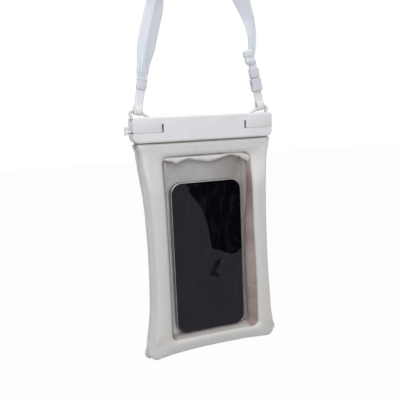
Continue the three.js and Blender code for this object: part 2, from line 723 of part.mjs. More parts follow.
function joiner() {
  const width = WEBBING_WIDTH + 2 * (CLEARANCE + SLEEVE_WALL);
  const depth = 2 * (WEBBING + CLEARANCE + SLEEVE_WALL);
  const block = fittingBlock(width, depth, joinerBottom, joinerTop);
  return cut(block, webbingBore(joinerBottom - REACH, joinerTop + REACH));
}

function buckleSocket() {
  const block = fittingBlock(SOCKET_WIDTH, SOCKET_DEPTH, socketBottom, socketTop);
  const inside = [SOCKET_WIDTH / 2 - SOCKET_WALL, SOCKET_DEPTH / 2 - SOCKET_WALL];
  const cavity = box([-inside[0], inside[0]], [-inside[1], inside[1]], [socketFloor, socketTop + REACH]);
  const windowSpan = [socketFloor + SOCKET_WALL, socketTop - 2 * SOCKET_WALL];
  const sideWindows = box([-SOCKET_WIDTH, SOCKET_WIDTH], [-SOCKET_WALL, SOCKET_WALL], windowSpan);
  return cut(block, webbingBore(socketBottom - REACH, TAIL_LENGTH.right + CLEARANCE), cavity, sideWindows);
}

function bucklePlug() {
  const body = fittingBlock(SOCKET_WIDTH - 2 * CLEARANCE, PLUG_DEPTH, plugBottom, plugTop);
  const arms = [-1, 0, 1].map((step) => {
    const middle = step * (SOCKET_WIDTH / 2 - SOCKET_WALL - CLEARANCE - PLUG_ARM / 2);
    const y = SOCKET_DEPTH / 2 - SOCKET_WALL - CLEARANCE;
    return box(
      [middle - PLUG_ARM / 2, middle + PLUG_ARM / 2],
      [-y, y],
      [plugBottom + REACH - PLUG_ARM_LENGTH - CLEARANCE, plugBottom + REACH],
    );
  });
  return cut(join(body, ...arms), webbingBore(plugTop - TUCK - CLEARANCE, plugTop + REACH));
}

function webbingLink() {
  const half = WEBBING_WIDTH / 2;
  return box([-half, half], [-WEBBING, WEBBING], [plugTop - TUCK, sliderBottom + TUCK]);
}

function slider() {
  const block = fittingBlock(SLIDER_WIDTH, SLIDER_DEPTH, sliderBottom, sliderTop, 1.2);
  return cut(block.translate(-SLIDER_OFFSET, 0, 0), webbingBore(sliderBottom - REACH, sliderTop + REACH));
}

// Neck strap: a flat ribbon along points chosen by hand, from the left joiner over the top to the slider
const STRAP_ROUTE = [
  [-56, 30.9],
  [-55.2, 34.6],
  [-54, 41],
  [-48.9, 65],
  [-38.4, 101],
  [-33.2, 117],
  [-21, 132.5],
  [0, LOOP_DROP + RIBBON / 2],
  [22, 132.5],
  [36, 118],
  [43.4, 103],
  [49.6, 82],
  [53, 66],
  [52.4, 59],
  [53, 55.6],
];

function neckStrap() {
  const points = STRAP_ROUTE.map(([x, height]) => new THREE.Vector3(x, 0, height));
  const line = new THREE.CatmullRomCurve3(points);
  const STEPS = 44;
  const sections = [];
  for (let i = 0; i <= STEPS; i++) {
    const t = i / STEPS;
    const at = line.getPointAt(t);
    const along = line.getTangentAt(t);
    const open = smooth(0.02, 0.13, t) * (1 - smooth(0.8, 0.96, t));
    const width = lerp(RIBBON_ROOT, RIBBON_WIDTH, open);
    const turned = smooth(0.25, 0.45, t) - 0.4 * smooth(0.55, 0.75, t) - 0.6 * smooth(0.86, 0.97, t);
    const twist = (turned * Math.PI) / 2;
    const inPlane = new THREE.Vector3(along.z, 0, -along.x);
    const back = new THREE.Vector3(0, 1, 0);
    const wide = inPlane.clone().multiplyScalar(Math.cos(twist)).addScaledVector(back, Math.sin(twist));
    const thick = inPlane.clone().multiplyScalar(-Math.sin(twist)).addScaledVector(back, Math.cos(twist));
    const corner = ([u, v]) =>
      at.clone().addScaledVector(wide, (u * width) / 2).addScaledVector(thick, (v * RIBBON) / 2);
    sections.push(RIBBON_PROFILE.map(corner));
  }
  return new LoftGeometry(sections, { capStart: true, capEnd: true }).translate(0, EYELET_MIDDLE, 0);
}

// Looks
const shellWhite = () => material(0xdadade, 0.45);
const cushionWhite = () => material(0xcbcac8, 0.55);
const cream = () => material(0xe4e0d2, 0.5);
const clearFilm = () => material(0xd3d6d8, 0.15, 0, 0.3);
const webbingWhite = () => material(0xdcdfe8, 0.85);
const clearWhite = () => material(0xdfe2ea, 0.35);
const steel = () => material(0xb8bbc0, 0.3, 1);
const silver = () => material(0xb4b7bc, 0.35, 1);
const darkGlass = () => material(0x17181c, 0.12);
const softGrey = () => material(0xc8cacc, 0.7);

const pinSpan = [lugSpan[0] + CLEARANCE, lugSpan[1] - CLEARANCE];
const pin = upright(PIN_RADIUS, pivotX, PIVOT_SETBACK, ...pinSpan);

const clamp = new THREE.Group();
clamp.add(
  mesh('clamp_front_jaw', frontJaw(), shellWhite()),
  mesh('clamp_rear_jaw', rearJaw(), shellWhite()),
  mesh('clamp_seal', seal(), softGrey()),
  mesh('latch_right', latch('right'), shellWhite()),
  mesh('latch_left', mirrored(latch('left')), shellWhite()),
  mesh('latch_pin_right', pin, steel()),
  mesh('latch_pin_left', mirrored(pin), steel()),
  mesh('lanyard_eyelet_right', eyelet(), cream()),
  mesh('lanyard_eyelet_left', mirrored(eyelet()), cream()),
);

const frontLift = PHONE_DEPTH / 2 + CLEARANCE;
const rearLift = lensFront + LENS_RISE + CLEARANCE;
const body = new THREE.Group();
body.position.x = FRAME_SHIFT;
body.add(
  mesh('air_cushion_frame', airCushionFrame(), cushionWhite()),
  mesh('pocket_film_front', film(-1, frontLift), clearFilm()),
  mesh('pocket_film_rear', film(1, rearLift), clearFilm()),
);

const phone = new THREE.Group();
phone.position.z = -PHONE_MIDDLE;
phone.add(
  mesh('phone_frame', phoneFrame(), silver()),
  mesh('phone_front_glass', phoneGlass(-1), darkGlass()),
  mesh('phone_back_glass', phoneGlass(1), darkGlass()),
  mesh('phone_camera_plate', cameraPlate(), darkGlass()),
  mesh('phone_camera_lens_upper', cameraLens(1), darkGlass()),
  mesh('phone_camera_lens_lower', cameraLens(-1), darkGlass()),
);
for (const [name, button] of Object.entries(BUTTONS)) phone.add(mesh(name, phoneButton(button), silver()));

function strapSide(side) {
  const sign = side === 'left' ? -1 : 1;
  const group = new THREE.Group();
  group.position.set(sign * (HALF_CLAMP - STRAP_INSET), EYELET_MIDDLE, TAIL_BOTTOM);
  group.rotation.y = -sign * STRAP_LEAN[side];
  return group;
}

const strapLeft = strapSide('left');
strapLeft.add(
  mesh('strap_tail_left', strapTail(TAIL_LENGTH.left), webbingWhite()),
  mesh('strap_joiner_left', joiner(), clearWhite()),
);
const strapRight = strapSide('right');
strapRight.add(
  mesh('strap_tail_right', strapTail(TAIL_LENGTH.right), webbingWhite()),
  mesh('buckle_socket_right', buckleSocket(), clearWhite()),
  mesh('buckle_plug_right', bucklePlug(), clearWhite()),
  mesh('strap_link_right', webbingLink(), webbingWhite()),
  mesh('strap_slider_right', slider(), clearWhite()),
);

const pouch = new THREE.Group();
pouch.position.z = -LOOP_DROP;
pouch.add(clamp, body, phone, strapLeft, strapRight, mesh('neck_strap', neckStrap(), webbingWhite()));

export default pouch;
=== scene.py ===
"""Waterproof phone pouch: an inflated white rim round a clear window, a latching clamp bar,
a neck strap with its buckle, and a phone inside."""

from math import atan, copysign, cos, hypot, pi, radians, sin, sqrt

import bmesh
import bpy
from mathutils import Euler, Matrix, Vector, noise


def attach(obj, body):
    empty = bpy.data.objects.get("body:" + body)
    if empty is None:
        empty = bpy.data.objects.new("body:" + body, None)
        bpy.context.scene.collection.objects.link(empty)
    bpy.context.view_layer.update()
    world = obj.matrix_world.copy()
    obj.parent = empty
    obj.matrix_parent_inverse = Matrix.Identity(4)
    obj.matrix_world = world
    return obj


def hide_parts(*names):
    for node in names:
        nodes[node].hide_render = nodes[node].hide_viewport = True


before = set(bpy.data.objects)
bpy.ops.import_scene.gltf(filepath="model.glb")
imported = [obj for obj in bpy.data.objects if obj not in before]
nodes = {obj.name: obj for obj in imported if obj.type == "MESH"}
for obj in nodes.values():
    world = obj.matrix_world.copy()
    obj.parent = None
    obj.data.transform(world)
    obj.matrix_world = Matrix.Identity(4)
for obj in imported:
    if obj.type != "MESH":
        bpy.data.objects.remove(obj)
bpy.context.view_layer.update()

MM = 0.001
TOP_OF_CLAMP = -140.0  # its height in the part's frame, in millimetres

# Sizes in millimetres; a depth is measured down from the clamp's top
BODY_SHIFT = 1.5  # how far right of the clamp's middle the rim and the window hang
HALF_WINDOW = 44.3
WINDOW_TOP = 36.4
WINDOW_BOTTOM = 210.4
UPPER_CORNER = 7.0  # radii of the window's corners
LOWER_CORNER = 5.0
RIM_TOP = 23.3
RIM_BOTTOM = 224.2
RIM_SAG = 3.2
RIM_WIDTH = 14.7
RIM_DEPTH = 25.0  # front to back, and in its upper limb
TOP_RIM_DEPTH = 14.0
ROUNDING = 0.45  # of the rim's section: 1 is an ellipse, less is fuller at the corners
SWELL = (30.3, 72.3)  # where down the rim it grows from the one to the other
SHOULDER_FLARE = 8.0
HIP_FLARE = 7.4
WAIST = 115.0
SHOULDER_CORNER = 2.0
HIP_CORNER = 8.0
PHONE_MIDDLE = 135.0
PHONE_HALF = (35.75, 73.35)
STRAP_MIDDLE = 1.0  # how far the strap lies behind the clamp's middle
# Where the rim's inner wall ends, as a share of the way round its section
INNER_WALL_END = 0.148
# Corners closer than this are one corner, in metres: of shapes made here, and of CAD meshes
SAME_PLACE = 1e-7
SAME_CAD_PLACE = 1e-6


def place(x, y, depth):
    """Millimetres about the clamp's top middle to metres in the part's frame."""
    return Vector((x * MM, y * MM, (TOP_OF_CLAMP - depth) * MM))


def blend(a, b, t):
    return a + (b - a) * t


def part(low, high, value):
    """How far a value is from low to high, from 0 to 1."""
    return min(1.0, max(0.0, (value - low) / (high - low)))


def ease(low, high, value):
    """The same, with a smooth start and end."""
    t = part(low, high, value)
    return t * t * (3 - 2 * t)


def powered(value, power):
    """A number's size to a power, with its sign kept."""
    return copysign(abs(value) ** power, value)


def along_table(table, value):
    """The value between the rows of a table of (place, value), eased from row to row."""
    for (low, start), (high, end) in zip(table, table[1:]):
        if value <= high:
            return blend(start, end, ease(low, high, value))
    return table[-1][1]


def add_object(name, data):
    thing = bpy.data.objects.new(name, data)
    bpy.context.scene.collection.objects.link(thing)
    return thing


# Camera, fitted to the photograph's corners of the clamp and the phone
CAMERA_SPOT = (-0.18851, -0.46730, -0.14142)
CAMERA_TURN = (81.092, 2.44, -21.752)  # degrees
LENS = 48.0  # on the usual 36 mm sensor


def photographer():
    camera = add_object("camera", bpy.data.cameras.new("camera"))
    camera.location = CAMERA_SPOT
    camera.rotation_euler = Euler([radians(angle) for angle in CAMERA_TURN])
    camera.data.lens = LENS
    camera.data.clip_start = 0.01
    bpy.context.scene.camera = camera


photographer()


# Modelling
def new_piece(name, bm, material, body="pouch", crease=None):
    """A bmesh as a smooth object that rides on a body; edges past crease degrees stay sharp."""
    mesh = bpy.data.meshes.new(name)
    for face in bm.faces:
        face.smooth = True
    if crease:
        for edge in bm.edges:
            if len(edge.link_faces) == 2 and edge.calc_face_angle() > radians(crease):
                edge.smooth = False
    bm.to_mesh(mesh)
    bm.free()
    mesh.materials.append(material)
    piece = add_object(name, mesh)
    if body:
        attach(piece, body)
    return piece


def bent(
    name, material, columns, rows, put, close_columns=False, close_rows=True, fill=False, **looks
):
    """A flat grid bent to shape: put(i, j) gives each corner's place; closed ways are welded."""
    bm = bmesh.new()
    uv = bm.loops.layers.uv.new("UVMap")
    bmesh.ops.create_grid(bm, x_segments=columns, y_segments=rows, size=1.0)
    for face in bm.faces:
        for loop in face.loops:
            x, y, _ = loop.vert.co
            loop[uv].uv = ((x + 1) / 2, (y + 1) / 2)
    for vert in bm.verts:
        i = round((vert.co.x + 1) / 2 * columns)
        j = round((vert.co.y + 1) / 2 * rows)
        vert.co = put(i % columns if close_columns else i, j % rows if close_rows else j)
    if close_columns or close_rows:
        bmesh.ops.remove_doubles(bm, verts=bm.verts, dist=SAME_PLACE)
    if fill:
        rims = [edge for edge in bm.edges if edge.is_boundary]
        bmesh.ops.holes_fill(bm, edges=rims, sides=0)
    bmesh.ops.recalc_face_normals(bm, faces=bm.faces)
    return new_piece(name, bm, material, **looks)


def soften(piece):
    finer = piece.modifiers.new("soften", "SUBSURF")
    finer.levels = finer.render_levels = 1


def thicken(piece, thickness, offset=0.0):
    """Makes a sheet a wall, in millimetres, to both sides or with an offset of -1 inwards."""
    wall = piece.modifiers.new("thickness", "SOLIDIFY")
    wall.thickness = thickness * MM
    wall.offset = offset


def merged_copy(node):
    """A copy of a CAD node's mesh with its loose triangles joined."""
    bm = bmesh.new()
    bm.from_mesh(nodes[node].data)
    bmesh.ops.remove_doubles(bm, verts=bm.verts, dist=SAME_CAD_PLACE)
    return bm


# Shader nodes
# A Mix node's colour sockets, by number because their names repeat
MIX_FACTOR, MIX_A, MIX_B, MIX_RESULT = 0, 6, 7, 2
# Noise keeps near its middle, so this range of it is spread over 0 to 1
NOISE_RANGE = (0.3, 0.7)
# Scales of noise, in waves to a metre
DUST = 1500.0
EDGE_PATCHES = 260.0
SLOW_MOTTLE = 38.0
WEB_FIBRES = 5000.0
WEB_MOTTLE = 60.0
FILM_CLOUDS = 32.0
# Heights of relief, in metres
GRAIN_HEIGHT = 0.00008
WEAVE_HEIGHT = 0.00012
CUSHION_FOLDS = 0.0012
FILM_FOLDS = 0.0006


def add_node(tree, kind, links=None, **values):
    """A shader node with links to its inputs, and with properties or inputs set by name."""
    node = tree.nodes.new("ShaderNode" + kind)
    for key, value in values.items():
        if hasattr(node, key):
            setattr(node, key, value)
        else:
            node.inputs[key.replace("_", " ")].default_value = value
    for key, source in (links or {}).items():
        feed(node.inputs[key], source)
    return node


def feed(socket, term):
    """Joins another socket, or sets a number or colour."""
    if isinstance(term, bpy.types.NodeSocket):
        socket.id_data.links.new(term, socket)
    elif isinstance(term, tuple):
        socket.default_value = (*term, 1.0)
    else:
        socket.default_value = term


def maths(tree, operation, *terms, clamp=False):
    """The output of a maths node on numbers and other nodes' outputs."""
    node = add_node(tree, "Math", operation=operation, use_clamp=clamp)
    for socket, term in zip(node.inputs, terms):
        feed(socket, term)
    return node.outputs[0]


def times(tree, first, second):
    return maths(tree, "MULTIPLY", first, second)


def ranged(tree, value, low, high, start=0.0, end=1.0):
    """Maps low to high smoothly onto start to end."""
    node = add_node(tree, "MapRange", interpolation_type="SMOOTHSTEP")
    for socket, term in zip(node.inputs, (value, low, high, start, end)):
        feed(socket, term)
    return node.outputs[0]


def tinted(tree, factor, a, b):
    """The colour a, turned to b by a factor."""
    node = add_node(tree, "Mix", data_type="RGBA")
    for index, term in ((MIX_FACTOR, factor), (MIX_A, a), (MIX_B, b)):
        feed(node.inputs[index], term)
    return node.outputs[MIX_RESULT]


def on_vectors(tree, operation, first, second):
    """The outputs of a maths node on a vector, and on another one or three numbers."""
    node = add_node(tree, "VectorMath", {0: first}, operation=operation)
    if isinstance(second, tuple):
        node.inputs[1].default_value = second
    else:
        feed(node.inputs[1], second)
    return node.outputs


def split(tree, vector):
    return add_node(tree, "SeparateXYZ", {"Vector": vector}).outputs


def noisy(tree, spot, scale, detail, **values):
    """Noise at a place; its scale is a number or another node's output."""
    node = add_node(tree, "TexNoise", {"Vector": spot}, Detail=detail, **values)
    feed(node.inputs["Scale"], scale)
    return node.outputs["Fac"]


def bumped(tree, height, strength, distance, **under):
    """The normal of relief, which may lie over another Normal."""
    node = add_node(tree, "Bump", {"Height": height, **under}, Distance=distance)
    feed(node.inputs["Strength"], strength)
    return node.outputs["Normal"]


def group_of(name, numbers, results):
    """An empty group that takes a Place and numbers, and puts out numbers and a Normal."""
    tree = bpy.data.node_groups.new(name, "ShaderNodeTree")
    add_socket = tree.interface.new_socket
    add_socket(name="Place", in_out="INPUT", socket_type="NodeSocketVector")
    for label, value in numbers.items():
        socket = add_socket(name=label, in_out="INPUT", socket_type="NodeSocketFloat")
        socket.default_value = value
    for label in results:
        kind = "NodeSocketVector" if label == "Normal" else "NodeSocketFloat"
        add_socket(name=label, in_out="OUTPUT", socket_type=kind)
    given = tree.nodes.new("NodeGroupInput").outputs
    return tree, given, tree.nodes.new("NodeGroupOutput").inputs


def use_group(tree, group, place_socket, **values):
    """The outputs of a group, given a place and its other inputs' values."""
    node = add_node(tree, "Group", node_tree=group)
    for key, value in {"Place": place_socket, **values}.items():
        feed(node.inputs[key], value)
    return node.outputs


def moulded_surface():
    """Rounded edges, fine grain, slow mottling, edges lighter partly as rubbed wear and partly as a
    painted highlight, and a few specks.
    """
    numbers = {"Grain": 1200.0, "Relief": 0.1, "Edge": 0.0003}
    results = ["Normal", "Rubbed_and_sheen", "Mottle", "Speck"]
    tree, given, out = group_of("moulded surface", numbers, results)
    spot = given["Place"]
    rounded = add_node(tree, "Bevel", {"Radius": given["Edge"]}, samples=4).outputs["Normal"]
    grain = noisy(tree, spot, given["Grain"], 3.0)
    flat = add_node(tree, "NewGeometry").outputs["Normal"]
    facing = on_vectors(tree, "DOT_PRODUCT", rounded, flat)["Value"]
    edge = ranged(tree, facing, 0.995, 0.93)
    patchy = ranged(tree, noisy(tree, spot, EDGE_PATCHES, 3.0), 0.35, 0.65, 0.25, 1.0)
    slow = noisy(tree, spot, SLOW_MOTTLE, 4.0)
    dust = noisy(tree, spot, DUST, 1.0)
    relief = bumped(tree, grain, given["Relief"], GRAIN_HEIGHT, Normal=rounded)
    feed(out["Normal"], relief)
    # Lighter edges: partly rubbed wear, partly a painted highlight along them
    feed(out["Rubbed_and_sheen"], times(tree, edge, patchy))
    feed(out["Mottle"], ranged(tree, slow, *NOISE_RANGE))
    feed(out["Speck"], ranged(tree, dust, 0.72, 0.78))
    return tree


def woven_surface():
    """Plain weave on a place given in metres, X across the webbing and Y along it."""
    results = ["Height", "Thread", "Mottle"]
    tree, given, out = group_of("woven surface", {"Pitch": 0.00045}, results)
    parts = split(tree, given["Place"])
    waves = []
    for axis in ("X", "Y"):
        steps = maths(tree, "DIVIDE", parts[axis], given["Pitch"])
        waves.append(maths(tree, "SINE", times(tree, steps, pi)))
    over = times(tree, *waves)
    ribs = maths(tree, "ABSOLUTE", waves[1])
    height = maths(tree, "MULTIPLY_ADD", over, 0.35, times(tree, ribs, 0.6))
    fibre = noisy(tree, given["Place"], WEB_FIBRES, 2.0)
    slow = noisy(tree, given["Place"], WEB_MOTTLE, 3.0)
    feed(out["Height"], maths(tree, "MULTIPLY_ADD", fibre, 0.3, height))
    feed(out["Thread"], ranged(tree, height, -0.1, 0.6))
    feed(out["Mottle"], ranged(tree, slow, *NOISE_RANGE))
    return tree


def film_folds():
    """Long soft creases and slow clouding of a plastic film; Stretch squeezes them sideways."""
    numbers = {"Size": 60.0, "Stretch": 1.0}
    tree, given, out = group_of("film folds", numbers, ["Height", "Crease", "Cloud"])
    squeeze = add_node(tree, "CombineXYZ", {"X": given["Stretch"]}, Y=1.0, Z=1.0)
    spread = on_vectors(tree, "MULTIPLY", given["Place"], squeeze.outputs[0])["Vector"]
    lines = noisy(tree, spread, given["Size"], 1.5, Distortion=0.6)
    off = maths(tree, "ABSOLUTE", maths(tree, "SUBTRACT", lines, 0.5))
    crease = ranged(tree, off, 0.035, 0.0)
    cloud = noisy(tree, given["Place"], FILM_CLOUDS, 3.0)
    feed(out["Height"], maths(tree, "MULTIPLY_ADD", crease, 0.3, lines))
    feed(out["Crease"], crease)
    feed(out["Cloud"], ranged(tree, cloud, *NOISE_RANGE))
    return tree


MOULDED = moulded_surface()
WOVEN = woven_surface()
FOLDS = film_folds()


# Finishes; colours are linear
DUST_BROWN = (0.368, 0.336, 0.296)
CUSHION_DUST = (0.42, 0.38, 0.34)
# Painted shade of the rim's inner wall, from its darker to its lighter clouding
PAINTED_WALL_SHADE_DARK = (0.235, 0.175, 0.16)
PAINTED_WALL_SHADE_LIGHT = (0.315, 0.255, 0.24)
# Painted shade on the rim's inner wall, in the window's recess, in the brownish tone of the film
# there: metres from the middle over which it grows, and its share before them
FLANK_SHADE_SPAN = (0.036, 0.0415)
LEAST_WALL_SHADE = 0.4
# Heights in metres over which painted shade darkens the rim slightly downwards, where less light
# falls
LOWER_PAINTED_SHADE = (-0.165, -0.37)
SCREEN_BORDER = 3.0


def tree_of(name):
    """A new material, its node tree, its shader's inputs and its texture coordinates."""
    material = bpy.data.materials.new(name)
    material.use_nodes = True
    tree = material.node_tree
    where = add_node(tree, "TexCoord")
    return material, tree, tree.nodes["Principled BSDF"].inputs, where.outputs


def shaded(colour, amount):
    return tuple(c * amount for c in colour)


def moulded(name, colour, roughness, metallic=0.0, speck=0.3, **surface):
    """A hard moulded or drawn finish."""
    material, tree, shader, where = tree_of(name)
    made = use_group(tree, MOULDED, where["Object"], **surface)
    base = tinted(tree, made["Mottle"], shaded(colour, 0.95), colour)
    # The edges' lighter colour: partly rubbed wear, partly a painted highlight
    light = tuple(min(0.95, c * 1.08 + 0.01) for c in colour)
    rubbed_and_sheen = tinted(tree, times(tree, made["Rubbed_and_sheen"], 0.6), base, light)
    specks = times(tree, made["Speck"], speck)
    feed(shader["Base Color"], tinted(tree, specks, rubbed_and_sheen, DUST_BROWN))
    gloss = ranged(tree, made["Mottle"], 0.0, 1.0, roughness * 1.15, roughness * 0.9)
    feed(shader["Roughness"], gloss)
    feed(shader["Metallic"], metallic)
    feed(shader["Normal"], made["Normal"])
    return material


def webbing(name, colour, tilt=0.0, ribbon=None):
    """Woven polyester; ribbon gives its length and width in metres where its UV map is used."""
    material, tree, shader, where = tree_of(name)
    if ribbon:
        length, width = ribbon
        # The map's V runs over both faces, so it spans the width twice
        spread = on_vectors(tree, "MULTIPLY", where["UV"], (length, 2 * width, 1.0))["Vector"]
        parts = split(tree, spread)
        lie = add_node(tree, "CombineXYZ", {"X": parts["Y"], "Y": parts["X"]})
        spot = lie.outputs[0]
    else:
        turn = add_node(tree, "Mapping", {"Vector": where["Object"]})
        turn.inputs["Rotation"].default_value = (radians(-90), 0.0, tilt)
        spot = turn.outputs[0]
    made = use_group(tree, WOVEN, spot)
    base = tinted(tree, made["Thread"], shaded(colour, 0.86), colour)
    feed(shader["Base Color"], tinted(tree, made["Mottle"], base, shaded(colour, 0.97)))
    feed(shader["Roughness"], 0.72)
    feed(shader["Sheen Weight"], 0.15)
    feed(shader["Normal"], bumped(tree, made["Height"], 0.5, WEAVE_HEIGHT))
    return material


def cushion(name, colour):
    """Inflated film: its UV map runs round the rim and, in V, round its section from inside."""
    material, tree, shader, where = tree_of(name)
    made = use_group(tree, MOULDED, where["Object"], Grain=420.0, Relief=0.12, Edge=0.0004)
    folds = use_group(tree, FOLDS, where["Object"], Size=26.0)
    # Painted shade on the rim's inner walls in the window's recess, strongest on the side walls
    round_section = split(tree, where["UV"])["Y"]
    front = ranged(tree, round_section, INNER_WALL_END - 0.02, INNER_WALL_END, 1.0, 0.0)
    rear = ranged(tree, round_section, 1 - INNER_WALL_END, 1.02 - INNER_WALL_END)
    parts = split(tree, where["Object"])
    from_middle = maths(tree, "ABSOLUTE", parts["X"])
    flank = ranged(tree, from_middle, *FLANK_SHADE_SPAN, LEAST_WALL_SHADE, 1.0)
    inside = times(tree, maths(tree, "MAXIMUM", front, rear), flank)
    base = tinted(tree, made["Mottle"], shaded(colour, 0.965), colour)
    # Painted shade: the rim a little darker downwards, where less light falls
    low = ranged(tree, parts["Z"], *LOWER_PAINTED_SHADE)
    base = tinted(tree, low, base, shaded(colour, 0.95))
    wall = tinted(tree, folds["Cloud"], PAINTED_WALL_SHADE_DARK, PAINTED_WALL_SHADE_LIGHT)
    base = tinted(tree, inside, base, wall)
    # Painted shade along the film's creases
    painted_crease_shade = times(tree, folds["Crease"], 0.12)
    base = tinted(tree, painted_crease_shade, base, shaded(colour, 0.88))
    specks = times(tree, made["Speck"], 0.2)
    feed(shader["Base Color"], tinted(tree, specks, base, CUSHION_DUST))
    feed(shader["Roughness"], ranged(tree, folds["Cloud"], 0.0, 1.0, 0.42, 0.32))
    relief = bumped(tree, folds["Height"], 0.25, CUSHION_FOLDS, Normal=made["Normal"])
    feed(shader["Normal"], relief)
    return material


def clear_film(name, colour, haze, creased, margin, edge_haze, roughness, stretch, painted_shading=()):
    """See-through film, with a UV map across it in U and up it in V; each entry of its last
    argument is painted shade or painted light: a range in X and one in Z over which another colour
    fades in."""
    material, tree, shader, where = tree_of(name)
    folds = use_group(tree, FOLDS, where["Object"], Size=26.0, Stretch=stretch)
    parts = split(tree, where["UV"])
    from_side = maths(tree, "ABSOLUTE", maths(tree, "SUBTRACT", parts["X"], 0.5))
    side = ranged(tree, from_side, 0.5 - margin, 0.5)
    foot = ranged(tree, parts["Y"], margin * 0.6, 0.0)
    weld = times(tree, maths(tree, "MAXIMUM", side, foot), edge_haze)
    crease = times(tree, folds["Crease"], creased)
    clouded = maths(tree, "MULTIPLY_ADD", folds["Cloud"], creased * 0.1, crease)
    glancing = add_node(tree, "LayerWeight", Blend=0.25)
    sheen = ranged(tree, glancing.outputs["Facing"], 0.35, 1.0, 0.0, 0.3)
    veil = maths(tree, "ADD", maths(tree, "ADD", clouded, weld), haze, clamp=True)
    feed(shader["Alpha"], maths(tree, "ADD", veil, sheen, clamp=True))
    tone = tinted(tree, folds["Cloud"], shaded(colour, 0.9), colour)
    parts = split(tree, where["Object"])
    # Painted shade or painted light: another colour over a range in X and in Z
    for across, up, painted_tone in painted_shading:
        beside = ranged(tree, parts["X"], *across)
        beyond = ranged(tree, parts["Z"], *up)
        tone = tinted(tree, times(tree, beside, beyond), tone, painted_tone)
    feed(shader["Base Color"], tone)
    feed(shader["Roughness"], roughness)
    feed(shader["Normal"], bumped(tree, folds["Height"], 0.35, FILM_FOLDS))
    return material


def phone_screen(name):
    """Black cover glass with a slightly darker border round the display."""
    material, tree, shader, where = tree_of(name)
    made = use_group(tree, MOULDED, where["Object"], Grain=300.0, Relief=0.0, Edge=0.0002)
    parts = split(tree, where["Object"])
    across = maths(tree, "ABSOLUTE", parts["X"])
    middle = (TOP_OF_CLAMP - PHONE_MIDDLE) * MM
    up = maths(tree, "ABSOLUTE", maths(tree, "SUBTRACT", parts["Z"], middle))
    edges = []
    for spot, half in ((across, PHONE_HALF[0]), (up, PHONE_HALF[1])):
        line = half - SCREEN_BORDER
        edges.append(ranged(tree, spot, (line - 0.1) * MM, (line + 0.1) * MM))
    border = maths(tree, "MAXIMUM", *edges)
    smear = ranged(tree, made["Mottle"], 0.2, 0.9, 0.0, 0.35)
    glass = tinted(tree, smear, (0.0012, 0.0012, 0.0018), (0.0025, 0.0025, 0.0032))
    feed(shader["Base Color"], tinted(tree, border, glass, (0.0006, 0.0006, 0.0009)))
    feed(shader["Roughness"], ranged(tree, made["Mottle"], 0.0, 1.0, 0.008, 0.035))
    feed(shader["Normal"], made["Normal"])
    return material


RIBBON_LENGTH = 0.2416  # metres
RIBBON_WIDTH = 17.0

clamp_white = moulded("clamp white", (0.69, 0.69, 0.715), 0.4, Relief=0.12)
cushion_white = cushion("cushion white", (0.585, 0.578, 0.568))
seam_white = moulded("welded seam white", (0.56, 0.545, 0.525), 0.42, Relief=0.2, Grain=700.0)
# Dark brown as painted shade: the shadow line under the clamp
neck_painted_shade = moulded("pocket neck film in painted shade", (0.25, 0.215, 0.195), 0.5, Relief=0.2)
lip_white = moulded("folded film white", (0.6, 0.59, 0.58), 0.3, Relief=0.1, Grain=500.0)
eyelet_cream = moulded("eyelet cream", (0.62, 0.61, 0.565), 0.5, Edge=0.0007)
fitting_white = moulded("fitting white", (0.57, 0.59, 0.64), 0.3, Edge=0.0006)
fitting_shade = moulded("slider white", (0.62, 0.64, 0.7), 0.3, Edge=0.0009)
seal_grey = moulded("seal grey", (0.56, 0.58, 0.6), 0.75, Relief=0.4)
pin_steel = moulded("pin steel", (0.55, 0.56, 0.58), 0.28, metallic=1.0, speck=0.1)
rail_silver = moulded("rail silver", (0.33, 0.325, 0.33), 0.4, metallic=1.0, speck=0.1)
back_black = moulded("back glass black", (0.012, 0.012, 0.015), 0.16, speck=0.05, Relief=0.02)
lens_black = moulded("lens black", (0.004, 0.004, 0.008), 0.04, speck=0.02, Relief=0.0)
ring_metal = moulded("lens ring grey", (0.16, 0.16, 0.18), 0.25, metallic=1.0, speck=0.1)
flash_cream = moulded("flash cream", (0.72, 0.68, 0.55), 0.2, speck=0.0)
slot_black = moulded("slot black", (0.008, 0.008, 0.009), 0.7, speck=0.2)
screen_black = phone_screen("screen black")
link_white = webbing("link webbing", (0.7, 0.71, 0.75), tilt=-atan(0.17))
ribbon_white = webbing(
    "ribbon webbing", (0.65, 0.68, 0.745), ribbon=(RIBBON_LENGTH, RIBBON_WIDTH * MM)
)
film_front = clear_film(
    "front film", (0.62, 0.61, 0.6), haze=0.0, creased=0.005, margin=0.03, edge_haze=0.5,
    roughness=0.12, stretch=3.0,
)
film_rear = clear_film(
    "rear film", (0.56, 0.55, 0.54), haze=0.82, creased=0.1, margin=0.04, edge_haze=0.3,
    roughness=0.25, stretch=1.8,
    # Painted shade: the rear film darker towards the right; painted light: lighter low on the left,
    # where the phone and rim shade it
    painted_shading=[
        ((0.0, 0.04), (-0.5, -0.4), (0.34, 0.31, 0.295)),
        ((-0.029, -0.036), (-0.205, -0.225), (0.93, 0.91, 0.9)),
    ],
)

PHONE_BUTTONS = ("action", "volume_up", "volume_down", "side")
NODE_FINISHES = {
    clamp_white: ["clamp_front_jaw", "clamp_rear_jaw"],
    seal_grey: ["clamp_seal"],
    pin_steel: ["latch_pin_right", "latch_pin_left"],
    rail_silver: ["phone_frame", *("phone_" + key + "_button" for key in PHONE_BUTTONS)],
    screen_black: ["phone_front_glass"],
    back_black: ["phone_back_glass", "phone_camera_plate"],
    lens_black: ["phone_camera_lens_upper", "phone_camera_lens_lower"],
    link_white: ["strap_link_right"],
    fitting_white: ["buckle_socket_right", "buckle_plug_right"],
}
for finish, names in NODE_FINISHES.items():
    for name in names:
        nodes[name].data.materials.clear()
        nodes[name].data.materials.append(finish)


